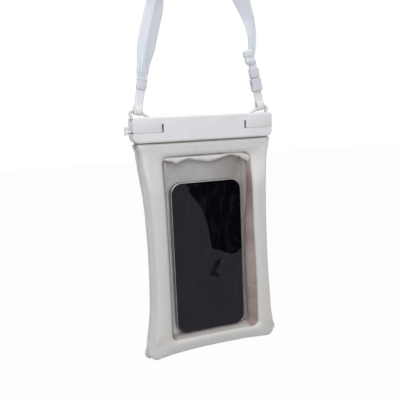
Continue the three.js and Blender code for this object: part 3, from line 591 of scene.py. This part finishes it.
# Neck strap: its middle line, as places across and heights above the clamp's top
STRAP_ROUTE = [
    (-56, 30.9), (-55.4, 34.6), (-54.3, 41), (-48.9, 65), (-38.4, 101), (-33.2, 117),
    (-21, 132.5), (0, 140.8), (22, 132.5), (37, 118), (45.4, 103), (52.6, 84), (54.8, 70),
    (54.4, 61), (53.4, 55.6),
]
# Shares of the ribbon's length, and its width there
RIBBON_WIDTHS = [(0, 7.4), (0.045, 11.2), (0.14, 17), (0.26, 17), (0.74, 17), (0.92, 9.2), (1, 7.6)]
RIBBON_THICKNESS = 0.9
RIBBON_STEPS = 150
# The left run's crease across the ribbon, and how far its two edges drop from it
CREST = -0.06
LEFT_DROP = 1.6
RIGHT_DROP = 3.6
PLEAT = 0.9
TAIL_WIDTH = 7.4
TAIL_THICKNESS = 1.1
TAIL_LENGTH = 0.055  # metres
# Each strap's lean as a slope, and the middle of its foot: across and above the clamp's top
STRAP_LEAN = {"left": 0.21, "right": 0.17}
STRAP_FOOT = (62.2, 1.2)


def smooth_route(points, per_span=12):
    """Points along a centripetal Catmull-Rom line through the given ones."""
    ends = [2 * points[0] - points[1], *points, 2 * points[-1] - points[-2]]
    line = []
    for k in range(1, len(ends) - 2):
        p = ends[k - 1 : k + 3]
        knots = [0.0]
        for a, b in zip(p, p[1:]):
            knots.append(knots[-1] + (b - a).length ** 0.5)
        for step in range(per_span):
            t = blend(knots[1], knots[2], step / per_span)
            row = list(p)
            for level in range(1, 4):
                row = [
                    row[n].lerp(row[n + 1], (t - knots[n]) / (knots[n + level] - knots[n]))
                    for n in range(4 - level)
                ]
            line.append(row[0])
    line.append(points[-1])
    return line


def even_route(line, count):
    """The same line with count + 1 points spaced evenly along it."""
    lengths = [0.0]
    for a, b in zip(line, line[1:]):
        lengths.append(lengths[-1] + (b - a).length)
    spaced, k = [], 0
    for step in range(count + 1):
        goal = lengths[-1] * step / count
        while k < len(line) - 2 and lengths[k + 1] < goal:
            k += 1
        share = (goal - lengths[k]) / max(1e-9, lengths[k + 1] - lengths[k])
        spaced.append(line[k].lerp(line[k + 1], min(1.0, share)))
    return spaced, lengths[-1]


def heading(line, i):
    """Which way a line runs at its point i."""
    return (line[min(i + 1, len(line) - 1)] - line[max(i - 1, 0)]).normalized()


def ribbon_profile(across=20):
    """Front face from one edge to the other, then the rear face back."""
    front = [(-1 + 2 * k / across, -1.0) for k in range(across + 1)]
    return front + [(-u, -v) for u, v in front]


def on_strap(side, across, back, up):
    """Millimetres along one strap's own leaning line to metres in the part's frame."""
    sign = 1 if side == "right" else -1
    turn = -sign * atan(STRAP_LEAN[side])
    x = sign * STRAP_FOOT[0] + across * cos(turn) + up * sin(turn)
    height = STRAP_FOOT[1] + up * cos(turn) - across * sin(turn)
    return place(x, STRAP_MIDDLE + back, -height)


def flat_loop(name, node, side, path, material):
    """A webbing tail laid along a path of (depth, height) points, across its strap's line."""
    steps = 90
    route = smooth_route([Vector((0, back, up)) for back, up in path], 8)
    line, _ = even_route(route, steps)
    profile = ribbon_profile(8)

    def put(i, j):
        along = heading(line, i)
        out = Vector((0, along.z, -along.y))
        u, v = profile[j]
        edge = 1 - 0.5 * ease(0.8, 1.0, abs(u))
        spot = line[i] + out * (v * edge * TAIL_THICKNESS / 2)
        return on_strap(side, u * TAIL_WIDTH / 2, spot.y, spot.z)

    loop = bent(name, material, steps, len(profile), put, fill=True)
    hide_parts(node)
    return loop


def tail_path(top):
    """Down one side of the tail from its top, round the eyelet's band and up the other."""
    half = [(0.72, top), (0.72, 13.0), (0.95, 10.0), (2.2, 7.0), (2.35, 4.2), (1.3, 1.9)]
    return [*half, (0.0, 1.3), *((-y, z) for y, z in half[::-1])]


def lobed(name, node, side, rows, material, slot):
    """A smooth moulded lump; rows give height, half width, half depth and offset sideways."""
    steps, ring = 40, 28
    low, high = rows[0][0], rows[-1][0]
    columns = [[(row[0], row[k]) for row in rows] for k in (1, 2, 3)]

    def put(i, j):
        height = blend(low, high, i / steps)
        wide, deep, off = [along_table(table, height) for table in columns]
        angle = 2 * pi * j / ring
        across = off + powered(cos(angle), 0.6) * wide
        return on_strap(side, across, powered(sin(angle), 0.6) * deep, height)

    piece = bent(name, material, steps, ring, put, fill=True)
    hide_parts(node)
    return piece


SLIDER_ROWS = [
    (44.3, 1.6, 1.2, -1.0), (45.1, 3.9, 2.2, -1.2), (48.0, 5.2, 3.0, -1.7), (51.4, 4.7, 2.5, -2.1),
    (54.0, 5.3, 3.1, -2.3), (57.3, 5.1, 3.1, -2.5), (59.2, 3.9, 2.2, -2.4), (59.8, 1.8, 1.2, -2.4),
]
JOINER_ROWS = [
    (23.4, 3.6, 1.9, 0.2), (24.0, 4.3, 2.3, 0.2), (27.5, 4.6, 2.4, 0.2), (30.5, 4.4, 2.3, 0.1),
    (33.2, 4.9, 2.5, 0.0), (33.9, 4.2, 2.0, 0.0),
]


def strap_pieces():
    """What is on the neck ribbon's two ends, down to the eyelets."""
    tail = webbing("tail webbing", (0.72, 0.725, 0.76), ribbon=(TAIL_LENGTH, TAIL_WIDTH * MM))
    left, right = tail_path(27), tail_path(23)
    joiner = ("left", JOINER_ROWS, fitting_white, "fitting_plastic")
    slider = ("right", SLIDER_ROWS, fitting_shade, "fitting_plastic")
    return [
        flat_loop("webbing_tail_left", "strap_tail_left", "left", left, tail),
        flat_loop("webbing_tail_right", "strap_tail_right", "right", right, tail),
        lobed("sleeve_left", "strap_joiner_left", *joiner),
        lobed("slider_right", "strap_slider_right", *slider),
        nodes["buckle_socket_right"],
        nodes["buckle_plug_right"],
        nodes["strap_link_right"],
    ]


def neck_ribbon(fittings):
    """The ribbon: creased along its left run, edge on past the top, and pleated at both ends."""
    route = [place(x, STRAP_MIDDLE, -height) for x, height in STRAP_ROUTE]
    line, length = even_route(smooth_route(route), RIBBON_STEPS)
    profile = ribbon_profile()

    def put(i, j):
        t = i / RIBBON_STEPS
        here = line[i]
        along = heading(line, i)
        width = along_table(RIBBON_WIDTHS, t) * MM
        # A quarter turn before the top, and two eighths back after it
        turns = ease(0.25, 0.45, t) - 0.5 * ease(0.55, 0.75, t) - 0.5 * ease(0.84, 0.94, t)
        twist = turns * pi / 2
        in_plane = Vector((along.z, 0, -along.x))
        back = Vector((0, 1, 0))
        wide = in_plane * cos(twist) + back * sin(twist)
        thick = back * cos(twist) - in_plane * sin(twist)
        u, v = profile[j]
        edge = 1 - 0.5 * ease(0.9, 1.0, abs(u))
        fold = 1 - ease(0.3, 0.5, t)
        if u < CREST:
            drop = LEFT_DROP * ((CREST - u) / (1 + CREST)) ** 1.2
        else:
            drop = RIGHT_DROP * ((u - CREST) / (1 - CREST)) ** 0.75
        lean = ease(0.0, 0.05, t)
        gathers = (1 - ease(0.03, 0.1, t)) + ease(0.9, 0.99, t)
        pleat = PLEAT * gathers * cos(4.5 * pi * u + 9 * t)
        creased = drop * fold * lean - LEFT_DROP * fold * lean
        offset = v * RIBBON_THICKNESS * edge / 2 + creased + pleat
        return here + wide * (u * width / 2) + thick * (offset * MM)

    piece = bent("neck_ribbon", ribbon_white, RIBBON_STEPS, len(profile), put, fill=True)
    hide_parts("neck_strap")


neck_ribbon(strap_pieces())


# Inflated rim
def half_width(depth):
    waist = HALF_WINDOW + RIM_WIDTH
    if depth < WAIST:
        return waist + SHOULDER_FLARE * ((WAIST - depth) / (WAIST - RIM_TOP)) ** 3
    return waist + HIP_FLARE * ((depth - WAIST) / (RIM_BOTTOM - WAIST)) ** 2.5


# Where the real rim isn't symmetrical: millimetres outwards at depths down each side, and
# downwards at places across the bottom
SIDE_TRIM = {
    "left": [
        (25, 0), (33, -0.4), (41, 0.7), (50, 1.4), (58, 1.2), (78, 0.5), (92, 0), (125, -0.8),
        (160, -1.1), (180, -1.5), (195, -1.2), (205, -0.8), (214, 0), (222, 0.3), (230, 0.5),
    ],
    "right": [
        (30, 0), (42, -0.9), (60, -0.9), (84, -0.2), (185, 0), (197, -0.7), (210, -0.3), (230, 0),
    ],
}
BOTTOM_TRIM = [
    (-62, 1.4), (-55, 0.5), (-44, 0), (-30, 0), (18, 0), (34, -0.6), (60, -0.8), (70, -1.6),
]
# Stations round a quarter of the rim: along its upper or lower limb, a corner and a side
LIMB_STEPS = 26
CORNER_STEPS = 14
SIDE_STEPS = 86


def trimmed(x, depth):
    """A point of the regular outline, moved to the real one."""
    side = "right" if x > 0 else "left"
    outwards = along_table(SIDE_TRIM[side], depth) * ease(30, 56, abs(x))
    lower = along_table(BOTTOM_TRIM, x) * ease(206, 220, depth)
    return (x + outwards if x > 0 else x - outwards, depth + lower)


def rim_stations():
    """Matching points of the window's edge and the rim's outer one, once round from the top,
    each with its share of the seam's ears, from 0 to 1."""
    right = []
    shoulder, hip = half_width(RIM_TOP), half_width(RIM_BOTTOM)
    for i in range(LIMB_STEPS):
        t = i / LIMB_STEPS
        window = (t * (HALF_WINDOW - UPPER_CORNER), WINDOW_TOP)
        right.append((window, (t * (shoulder - SHOULDER_CORNER), RIM_TOP), 0.0))
    for i in range(CORNER_STEPS):
        angle = i / CORNER_STEPS * pi / 2
        x, z = sin(angle) - 1, 1 - cos(angle)
        window = (HALF_WINDOW + UPPER_CORNER * x, WINDOW_TOP + UPPER_CORNER * z)
        rim = (shoulder + SHOULDER_CORNER * x, RIM_TOP + SHOULDER_CORNER * z)
        right.append((window, rim, sin(angle) ** 2))
    for i in range(SIDE_STEPS + 1):
        t = i / SIDE_STEPS
        window = blend(WINDOW_TOP + UPPER_CORNER, WINDOW_BOTTOM - LOWER_CORNER, t)
        rim = blend(RIM_TOP + SHOULDER_CORNER, RIM_BOTTOM - HIP_CORNER, t)
        ear = abs(2 * t - 1) ** (5 if t < 0.5 else 8)
        right.append(((HALF_WINDOW, window), (half_width(rim), rim), ear))
    for i in range(1, CORNER_STEPS + 1):
        angle = i / CORNER_STEPS * pi / 2
        x, z = 1 - cos(angle), 1 - sin(angle)
        lower = (HALF_WINDOW - LOWER_CORNER * x, WINDOW_BOTTOM - LOWER_CORNER * z)
        rim = (hip - HIP_CORNER * x, RIM_BOTTOM + RIM_SAG - HIP_CORNER * z)
        right.append((lower, rim, cos(angle) ** 2))
    for i in range(1, LIMB_STEPS + 1):
        t = 1 - i / LIMB_STEPS
        lower = (t * (HALF_WINDOW - LOWER_CORNER), WINDOW_BOTTOM)
        right.append((lower, (t * (hip - HIP_CORNER), RIM_BOTTOM + RIM_SAG * t * t), 0.0))
    left = [((-a[0], a[1]), (-b[0], b[1]), ear) for a, b, ear in right[1:-1]]
    return [(a, trimmed(*b), ear) for a, b, ear in right + left[::-1]]


def even_angles(count):
    """Angles that space points evenly round the rim's section."""
    fine = 2880
    angles = [2 * pi * k / fine for k in range(fine + 1)]
    ring = []
    for angle in angles:
        u, v = powered(cos(angle), ROUNDING), powered(sin(angle), ROUNDING)
        ring.append((u * RIM_WIDTH / 2, v * RIM_DEPTH / 2))
    lengths = [0.0]
    for (ax, ay), (bx, by) in zip(ring, ring[1:]):
        lengths.append(lengths[-1] + hypot(bx - ax, by - ay))
    spaced, k = [], 0
    for step in range(count):
        while lengths[k + 1] < lengths[-1] * step / count:
            k += 1
        spaced.append(angles[k])
    return spaced


# How far the inner wall leans in from its ridge to the films, along the sides and at the ends
INNER_LEAN = 2.6
END_LEAN = 0.9
# The right inner wall leans further, and its ridge moves out towards the window's lower end
FLANK_LEAN = 2.6
FLANK_OPENING = 3.6
OPENING_DEPTHS = (60, 185)
# How much thinner the lower limb is at its outer edge
LOWER_TAPER = 0.3
# How far sideways a section points before it counts as a side's and not a limb's
SIDEWAYS = (0.6, 0.95)


def half_depth(middle):
    return blend(TOP_RIM_DEPTH, RIM_DEPTH, ease(*SWELL, middle)) / 2


def rim_point(inner, outer, angle, pucker=0.0):
    """A point of the rim's skin; the angle runs from the window's edge round the front."""
    across = Vector((outer[0] - inner[0], outer[1] - inner[1]))
    width = across.length
    across.normalize()
    middle = (inner[1] + outer[1]) / 2
    u = width / 2 * (1 - powered(cos(angle), ROUNDING))
    deep = half_depth(middle)
    v = -deep * powered(sin(angle), ROUNDING)
    wall = 1 - abs(v) / deep
    v *= 1 - LOWER_TAPER * ease(WINDOW_BOTTOM - 6, WINDOW_BOTTOM + 3, middle) * (u / width) ** 1.5
    flank = ease(*SIDEWAYS, across.x)
    wider = FLANK_OPENING * flank * ease(*OPENING_DEPTHS, middle)
    u += wider * (1 - u / width)
    lean = INNER_LEAN * ease(*SIDEWAYS, abs(across.x)) + END_LEAN + FLANK_LEAN * flank + wider
    u -= lean * wall * max(0.0, cos(angle)) ** 0.5
    near_seam = max(0.0, -cos(angle)) ** 6
    u += pucker * near_seam
    v *= 1 + pucker * 0.05 * (1 - near_seam)
    return (BODY_SHIFT + inner[0] + across.x * u, v, inner[1] + across.y * u)


def pucker_at(outer, ear, arc):
    """Small gathers along the seam, deeper round the four corners."""
    wave = sin(arc / 1.9) * (0.6 + 0.4 * sin(arc / 7.3))
    slow = noise.noise(Vector((outer[0] * 0.05, 0.0, outer[1] * 0.05)))
    return (0.07 + 0.34 * ear) * wave + 0.35 * slow


def inflated_rim():
    stations = rim_stations()
    angles = even_angles(48)
    arcs, here = [0.0], stations[0][1]
    for _, outer, _ in stations[1:]:
        arcs.append(arcs[-1] + hypot(outer[0] - here[0], outer[1] - here[1]))
        here = outer

    def put(i, j):
        inner, outer, ear = stations[i]
        return place(*rim_point(inner, outer, angles[j], pucker_at(outer, ear, arcs[i])))

    rim = bent("inflated_rim", cushion_white, len(stations), len(angles), put, close_columns=True)
    soften(rim)
    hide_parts("air_cushion_frame")


inflated_rim()


# The seam: its reach past the rim all round, and how much further its corner ears reach
SEAM_BAND = 1.0
SHOULDER_EAR = {"left": 4.0, "right": 6.2}
HIP_EAR = {"left": 0.8, "right": 8.0}
LEFT_CORNER_EAR = 2.2
SEAM_ROOT = 1.5  # how deep it starts within the rim
SEAM_ANGLE = pi * 1.13  # where round the section it sits
SEAM_THICKNESS = 0.8
# The right shoulder's ear ends in a step
EAR_STEP = (38.0, 42.0)


def rim_seam():
    """The flat weld of the rim's two skins, behind its outer wall, wider at the corners."""
    stations = rim_stations()
    profile = [(0.0, -1), (0.55, -1), (0.96, -0.9), (1.0, 0.0), (0.96, 0.9), (0.55, 1), (0.0, 1)]

    def put(i, j):
        inner, outer, ear = stations[i]
        width = hypot(outer[0] - inner[0], outer[1] - inner[1])
        away = Vector((outer[0] - inner[0], outer[1] - inner[1])) / width
        middle = (inner[1] + outer[1]) / 2
        root = width * (1 - powered(cos(SEAM_ANGLE), ROUNDING)) / 2 - SEAM_ROOT
        ears = SHOULDER_EAR if middle < WAIST else HIP_EAR
        reach = SEAM_BAND + ear * ears["right" if outer[0] > 0 else "left"]
        reach += LEFT_CORNER_EAR * ease(220, 227, outer[1]) * ease(-36, -54, outer[0])
        if outer[0] > 0 and middle < WAIST:
            reach = blend(reach, 0.6 * SEAM_BAND, 0.8 * ease(*EAR_STEP, outer[1]))
        if middle < WINDOW_TOP:
            reach *= ease(RIM_TOP - 1, RIM_TOP + 7, outer[1])
        share, side = profile[j]
        u = blend(root, width + reach, share)
        ripple = 0.35 * ear * share * sin(outer[1] / 1.7 + outer[0] / 2.3)
        v = rim_point(inner, outer, SEAM_ANGLE)[1] + ripple + side * SEAM_THICKNESS / 2
        return place(BODY_SHIFT + inner[0] + away.x * u, v, inner[1] + away.y * u)

    seam = bent("rim_seam", seam_white, len(stations), len(profile), put, close_columns=True)


rim_seam()


NECK_HALF = (66.5, 6.2)  # half its width and half its thickness
NECK_ENDS = (25.5, 22.3)


def pocket_neck():
    """The pouch's film where it runs up out of the rim into the clamp's mouth, coloured dark as
    painted shade under the clamp.
    """
    ring, rows = 96, 4

    def put(i, j):
        angle = 2 * pi * i / ring
        x = powered(cos(angle), 0.25) * NECK_HALF[0]
        y = powered(sin(angle), 0.6) * NECK_HALF[1]
        return place(x, y, blend(*NECK_ENDS, j / rows))

    neck = bent("pocket_neck", neck_painted_shade, ring, rows, put, close_columns=True, close_rows=False)
    thicken(neck, 0.4, offset=-1.0)


pocket_neck()


# Window films
PHONE_TOP = PHONE_MIDDLE - PHONE_HALF[1]
PHONE_BOTTOM = PHONE_MIDDLE + PHONE_HALF[1]
FILM_OVERLAP = 0.4  # how far the films run under the rim
FILM_TOP = 4.5
FILM_WALL = 0.3
FILM_GAP = 0.3  # from the pocket's middle plane to each film where nothing is between them
FILM_RIPPLE = 0.45
# Above this depth the films are in the pouch's straight neck
NECK_END = 40
NECK_FILM_HALF = 41.8


def window_half(depth):
    """Half the films' width at a depth within the window."""
    lower = LOWER_CORNER
    below = WINDOW_BOTTOM - depth
    half = HALF_WINDOW - INNER_LEAN + FILM_OVERLAP
    if below < lower:
        return half - lower + sqrt(max(0.0, lower**2 - (lower - below) ** 2))
    return half


def window_film(name, node, side, lift, material):
    """One film, lifted over the phone; side is -1 for the front and 1 for the rear."""
    columns, rows = 80, 150
    bottom = WINDOW_BOTTOM + FILM_OVERLAP

    def put(i, j):
        depth = blend(bottom, FILM_TOP, j / rows)
        half = window_half(depth) if depth > NECK_END else NECK_FILM_HALF
        x = (2 * i / columns - 1) * half
        inward = 1 - part(PHONE_HALF[0], half, abs(x + BODY_SHIFT))
        over = part(WINDOW_TOP, PHONE_TOP, depth)
        under = part(bottom, PHONE_BOTTOM, depth)
        free = min(inward, over, under)
        rise = sin(free * pi / 2)
        ripple = noise.noise(Vector((x * 0.16, side * 3.0, depth * 0.035)))
        loose = sin(pi * free) + 0.25 * free
        y = side * (blend(FILM_GAP, lift, rise) + FILM_RIPPLE * loose * ripple + 0.1)
        return place(BODY_SHIFT + x, y, depth)

    film = bent(name, material, columns, rows, put, close_rows=False)
    thicken(film, FILM_WALL)
    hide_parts(node)


window_film("window_film_front", "pocket_film_front", -1, 4.3, film_front)
window_film("window_film_rear", "pocket_film_rear", 1, 6.3, film_rear)

# Lower edge of the loose lip at the window's top: places across, and depths
LIP_EDGE = [
    (-44.3, 39.6), (-40, 40.4), (-35, 41.2), (-28.5, 43.4), (-23, 41.2), (-17.5, 40.0), (-8, 41.8),
    (4, 43.6), (15, 41.6), (25.3, 38.6), (34, 40.6), (40, 44.2), (45.2, 46.4), (47.2, 43.0),
]
LIP_ENDS = (1.4, 1.5)  # how much shorter it is than that edge, left and right
LIP_FACE = -3.4
LIP_ROLL = 2.0
LIP_FLUTTER = 0.7


def window_lip():
    """The pocket's film where it is gathered and welded below the rim's upper limb."""
    columns, rows = 120, 8

    def put(i, j):
        x = blend(LIP_EDGE[0][0] + LIP_ENDS[0], LIP_EDGE[-1][0] - LIP_ENDS[1], i / columns)
        share = j / rows
        depth = blend(WINDOW_TOP + 0.9, along_table(LIP_EDGE, x), share)
        wave = noise.noise(Vector((x * 0.13, 7.0, 0.0)))
        flutter = sin(x * 0.55 + 1.2) * 0.5 + wave
        roll = sin(pi * share * 0.85)
        y = LIP_FACE - LIP_ROLL * roll - LIP_FLUTTER * share * flutter + 0.9 * share
        return place(x, y, depth)

    lip = bent("window_lip", lip_white, columns, rows, put, close_rows=False)
    thicken(lip, 0.35)
    soften(lip)


window_lip()


# Clamp: the latches' front panels, and their hairline gap to the clamp
HALF_CLAMP = 69
LATCH_TOP = 1.7
LATCH_HEIGHT = 12.2
LATCH_REACH = {"right": 27.5, "left": 26}
LATCH_EDGE = 5.4  # from its middle, beyond which a corner is on its upper or lower edge
CLOSE_FIT = 0.26
PANEL_EDGE = 0.24
PANEL_FACE = -8.9


def snug_latch(side):
    """The latch grown to a hairline gap to the clamp, a little more at its front face."""
    bm = merged_copy("latch_" + side)
    middle = (TOP_OF_CLAMP - LATCH_TOP - LATCH_HEIGHT / 2) * MM
    inside = (HALF_CLAMP - LATCH_REACH[side]) * MM
    for vert in bm.verts:
        up = vert.co.z - middle
        face = PANEL_EDGE if vert.co.y < PANEL_FACE * MM else 0.0
        if up > LATCH_EDGE * MM:
            vert.co.z += (CLOSE_FIT + face) * MM
        elif up < -LATCH_EDGE * MM:
            vert.co.z -= 0.5 * (CLOSE_FIT + face) * MM
        if abs(vert.co.x) < inside + 1 * MM:
            vert.co.x -= copysign((CLOSE_FIT + face) * MM, vert.co.x)
    latch = new_piece("snug_latch_" + side, bm, clamp_white, body=side + "_latch", crease=30)
    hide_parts("latch_" + side)


for side in ("right", "left"):
    snug_latch(side)

# Middle line of the right eyelet's band: places across, and heights above the clamp
EYELET_LINE = [(67.1, -0.2), (68.4, 3.0), (66.8, 5.9), (61.8, 5.6), (56.6, 3.0), (51.5, -0.2)]
EYELET_BAND = 2.7
EYELET_DEPTHS = (-0.7, 2.7)


def eyelet(side, mirror):
    """A moulded band along the eyelet's line; mirror is 1 on the right and -1 on the left."""
    steps, ring = 48, 20
    front, rear = EYELET_DEPTHS
    line, _ = even_route(smooth_route([place(x, 0, -up) for x, up in EYELET_LINE]), steps)

    def put(i, j):
        along = heading(line, i)
        away = Vector((-along.z, 0, along.x))
        angle = 2 * pi * j / ring
        out = powered(cos(angle), 0.85) * EYELET_BAND / 2
        back = (front + rear) / 2 + powered(sin(angle), 0.75) * (rear - front) / 2
        spot = line[i] + away * (out * MM) + Vector((0, back * MM, 0))
        return Vector((mirror * spot.x, spot.y, spot.z))

    band = bent("moulded_eyelet_" + side, eyelet_cream, steps, ring, put, fill=True, crease=50)
    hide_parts("lanyard_eyelet_" + side)


eyelet("right", 1)
eyelet("left", -1)


# Phone
def turned(name, profile, centre, material):
    """A profile of (radius, depth) in millimetres, spun about the Y axis through centre."""
    bm = bmesh.new()
    axis = place(centre[0], 0, -centre[1])
    corners = [bm.verts.new(axis + Vector((r * MM, y * MM, 0))) for r, y in profile]
    edges = [bm.edges.new(pair) for pair in zip(corners, corners[1:])]
    whole = {"geom": corners + edges, "angle": 2 * pi, "steps": 32, "use_merge": True}
    bmesh.ops.spin(bm, cent=axis, axis=(0, 1, 0), **whole)
    bmesh.ops.remove_doubles(bm, verts=bm.verts, dist=SAME_PLACE)
    bmesh.ops.recalc_face_normals(bm, faces=bm.faces)
    return new_piece(name, bm, material, crease=40)


# The camera's middle from the phone's, across and up, and how far its lenses are off it
CAMERA_MIDDLE = (17.25, 54.85)
LENS_STEP = 6.4
LENS_FACE = 5.7
PLATE_FACE = 4.95
# The flash, and the microphone below it, from the camera's middle
FLASH_OFF = (8.2, 7.6)


def phone_details():
    """Rings and irises of the two lenses, the flash and the microphone."""
    x, height = CAMERA_MIDDLE
    height -= PHONE_MIDDLE
    face, plate = LENS_FACE, PLATE_FACE
    ring = [(5.6, face - 1.0), (6.3, face - 1.0), (6.3, face - 0.3), (5.9, face)]
    ring += [(5.65, face - 0.1), (5.6, face - 1.0)]
    iris = [(0.0, face + 0.05), (3.1, face + 0.05), (3.3, face - 0.1)]
    for name, step in (("upper", LENS_STEP), ("lower", -LENS_STEP)):
        spot = (x - step, height + step)
        turned("lens_ring_" + name, ring, spot, ring_metal)
        turned("lens_iris_" + name, iris, spot, lens_black)
    disc = [(0.0, plate + 0.12), (1.6, plate + 0.12), (1.9, plate - 0.05)]
    spot = (x + FLASH_OFF[0], height + FLASH_OFF[1])
    turned("camera_flash", disc, spot, flash_cream)
    dot = [(0.0, plate + 0.04), (0.5, plate + 0.04), (0.55, plate - 0.05)]
    spot = (x + FLASH_OFF[0], height - FLASH_OFF[1])
    turned("camera_microphone", dot, spot, slot_black)


phone_details()


# Studio, in metres
FLOOR = -0.5
HALF_FLOOR = 4.0
WHITE = (1.0, 1.0, 1.0)
WORLD_LIGHT = 0.54
LAMP_AIM = (0, 0, -0.25)
# Each lamp's name, place, size and watts
LAMPS = [
    ("key", (-0.25, -0.9, 0.35), 0.6, 5.4),
    ("side", (-0.9, -0.3, 0.1), 0.7, 1.6),
    ("overhead", (0.0, -0.25, 0.9), 0.9, 4.7),
    ("back", (0.35, 0.9, 0.25), 0.8, 3.2),
]
# Outlines of three reflector cards in X and Z, where the phone's glass mirrors them
GREY_CARD = [(0.02, -0.17), (0.25, -0.17), (0.25, -0.495), (0.02, -0.495)]
BLACK_CARD = [
    (0.0778, -0.17), (0.0815, -0.2403), (0.0872, -0.256), (0.1025, -0.2758), (0.1099, -0.2945),
    (0.1145, -0.3145), (0.1179, -0.3403), (0.121, -0.3455), (0.1328, -0.3487), (0.1412, -0.353),
    (0.1497, -0.3574), (0.1602, -0.3556), (0.1719, -0.3474), (0.24, -0.34), (0.24, -0.17),
]
SMALL_CARD = [
    (0.1347, -0.3607), (0.127, -0.3635), (0.1206, -0.3682), (0.1182, -0.3751), (0.1129, -0.3823),
    (0.113, -0.3872), (0.1281, -0.3911), (0.1293, -0.3881), (0.1241, -0.3816), (0.126, -0.3754),
    (0.1307, -0.3705),
]
# Each card's name, outline, place in Y and colour
CARDS = [
    ("grey card", GREY_CARD, -0.285, (0.47, 0.455, 0.53)),
    ("black card", BLACK_CARD, -0.283, (0.02, 0.02, 0.035)),
    ("small card", SMALL_CARD, -0.283, (0.16, 0.155, 0.18)),
]


def seen_directly(tree):
    """1 for rays from the camera, off a mirror or through glass, and 0 for all others."""
    rays = add_node(tree, "LightPath").outputs
    seen = maths(tree, "MAXIMUM", rays["Is Camera Ray"], rays["Is Glossy Ray"])
    return maths(tree, "MAXIMUM", seen, rays["Is Transmission Ray"])


def mix_shaders(tree, factor, first, second, goal):
    """Feeds a goal socket with the first node's shader, turned to the second's by a factor."""
    mix = add_node(tree, "MixShader", {"Fac": factor})
    feed(mix.inputs[1], first.outputs[0])
    feed(mix.inputs[2], second.outputs[0])
    feed(goal, mix.outputs[0])


def stage_material(name, colour, glow, lit):
    """A surface that is lit as one colour, and of which a share of glow is seen as another."""
    material, tree, shader, _ = tree_of(name)
    feed(shader["Base Color"], lit)
    feed(shader["Roughness"], 0.9)
    feed(shader["Specular IOR Level"], 0.0)
    light = add_node(tree, "Emission", Strength=1.0)
    feed(light.inputs["Color"], colour)
    share = times(tree, seen_directly(tree), glow)
    surface = tree.nodes["Material Output"].inputs["Surface"]
    mix_shaders(tree, share, tree.nodes["Principled BSDF"], light, surface)
    return material


def stage_floor():
    bm = bmesh.new()
    bmesh.ops.create_grid(bm, x_segments=1, y_segments=1, size=HALF_FLOOR)
    bmesh.ops.translate(bm, verts=bm.verts, vec=(0, 0, FLOOR))
    pale = stage_material("pale floor", WHITE, 0.97, (0.5, 0.5, 0.5))
    floor = new_piece("floor", bm, pale, body=None)


def reflector(name, outline, depth, colour):
    """A card that only mirror-like surfaces see."""
    bm = bmesh.new()
    bm.faces.new([bm.verts.new((x, depth, z)) for x, z in outline])
    card = new_piece(name, bm, stage_material(name, colour, 1.0, colour), body=None)
    for ray in ("camera", "diffuse", "transmission", "shadow"):
        setattr(card, "visible_" + ray, False)


def lamp(name, spot, size, watts):
    data = bpy.data.lights.new(name, "AREA")
    data.size = size
    data.energy = watts
    thing = add_object(name, data)
    thing.location = spot
    thing.rotation_euler = (Vector(LAMP_AIM) - Vector(spot)).to_track_quat("-Z", "Y").to_euler()


def white_world(scene):
    """A background that lights the scene softly, and is seen as plain white."""
    world = bpy.data.worlds.new("studio")
    scene.world = world
    world.use_nodes = True
    tree = world.node_tree
    light = tree.nodes["Background"]
    feed(light.inputs["Color"], WHITE)
    feed(light.inputs["Strength"], WORLD_LIGHT)
    white = add_node(tree, "Background", Strength=1.0)
    feed(white.inputs["Color"], WHITE)
    surface = tree.nodes["World Output"].inputs["Surface"]
    mix_shaders(tree, seen_directly(tree), light, white, surface)


def studio():
    scene = bpy.context.scene
    scene.view_settings.view_transform = "Standard"
    white_world(scene)
    for row in LAMPS:
        lamp(*row)
    stage_floor()
    for row in CARDS:
        reflector(*row)


studio()
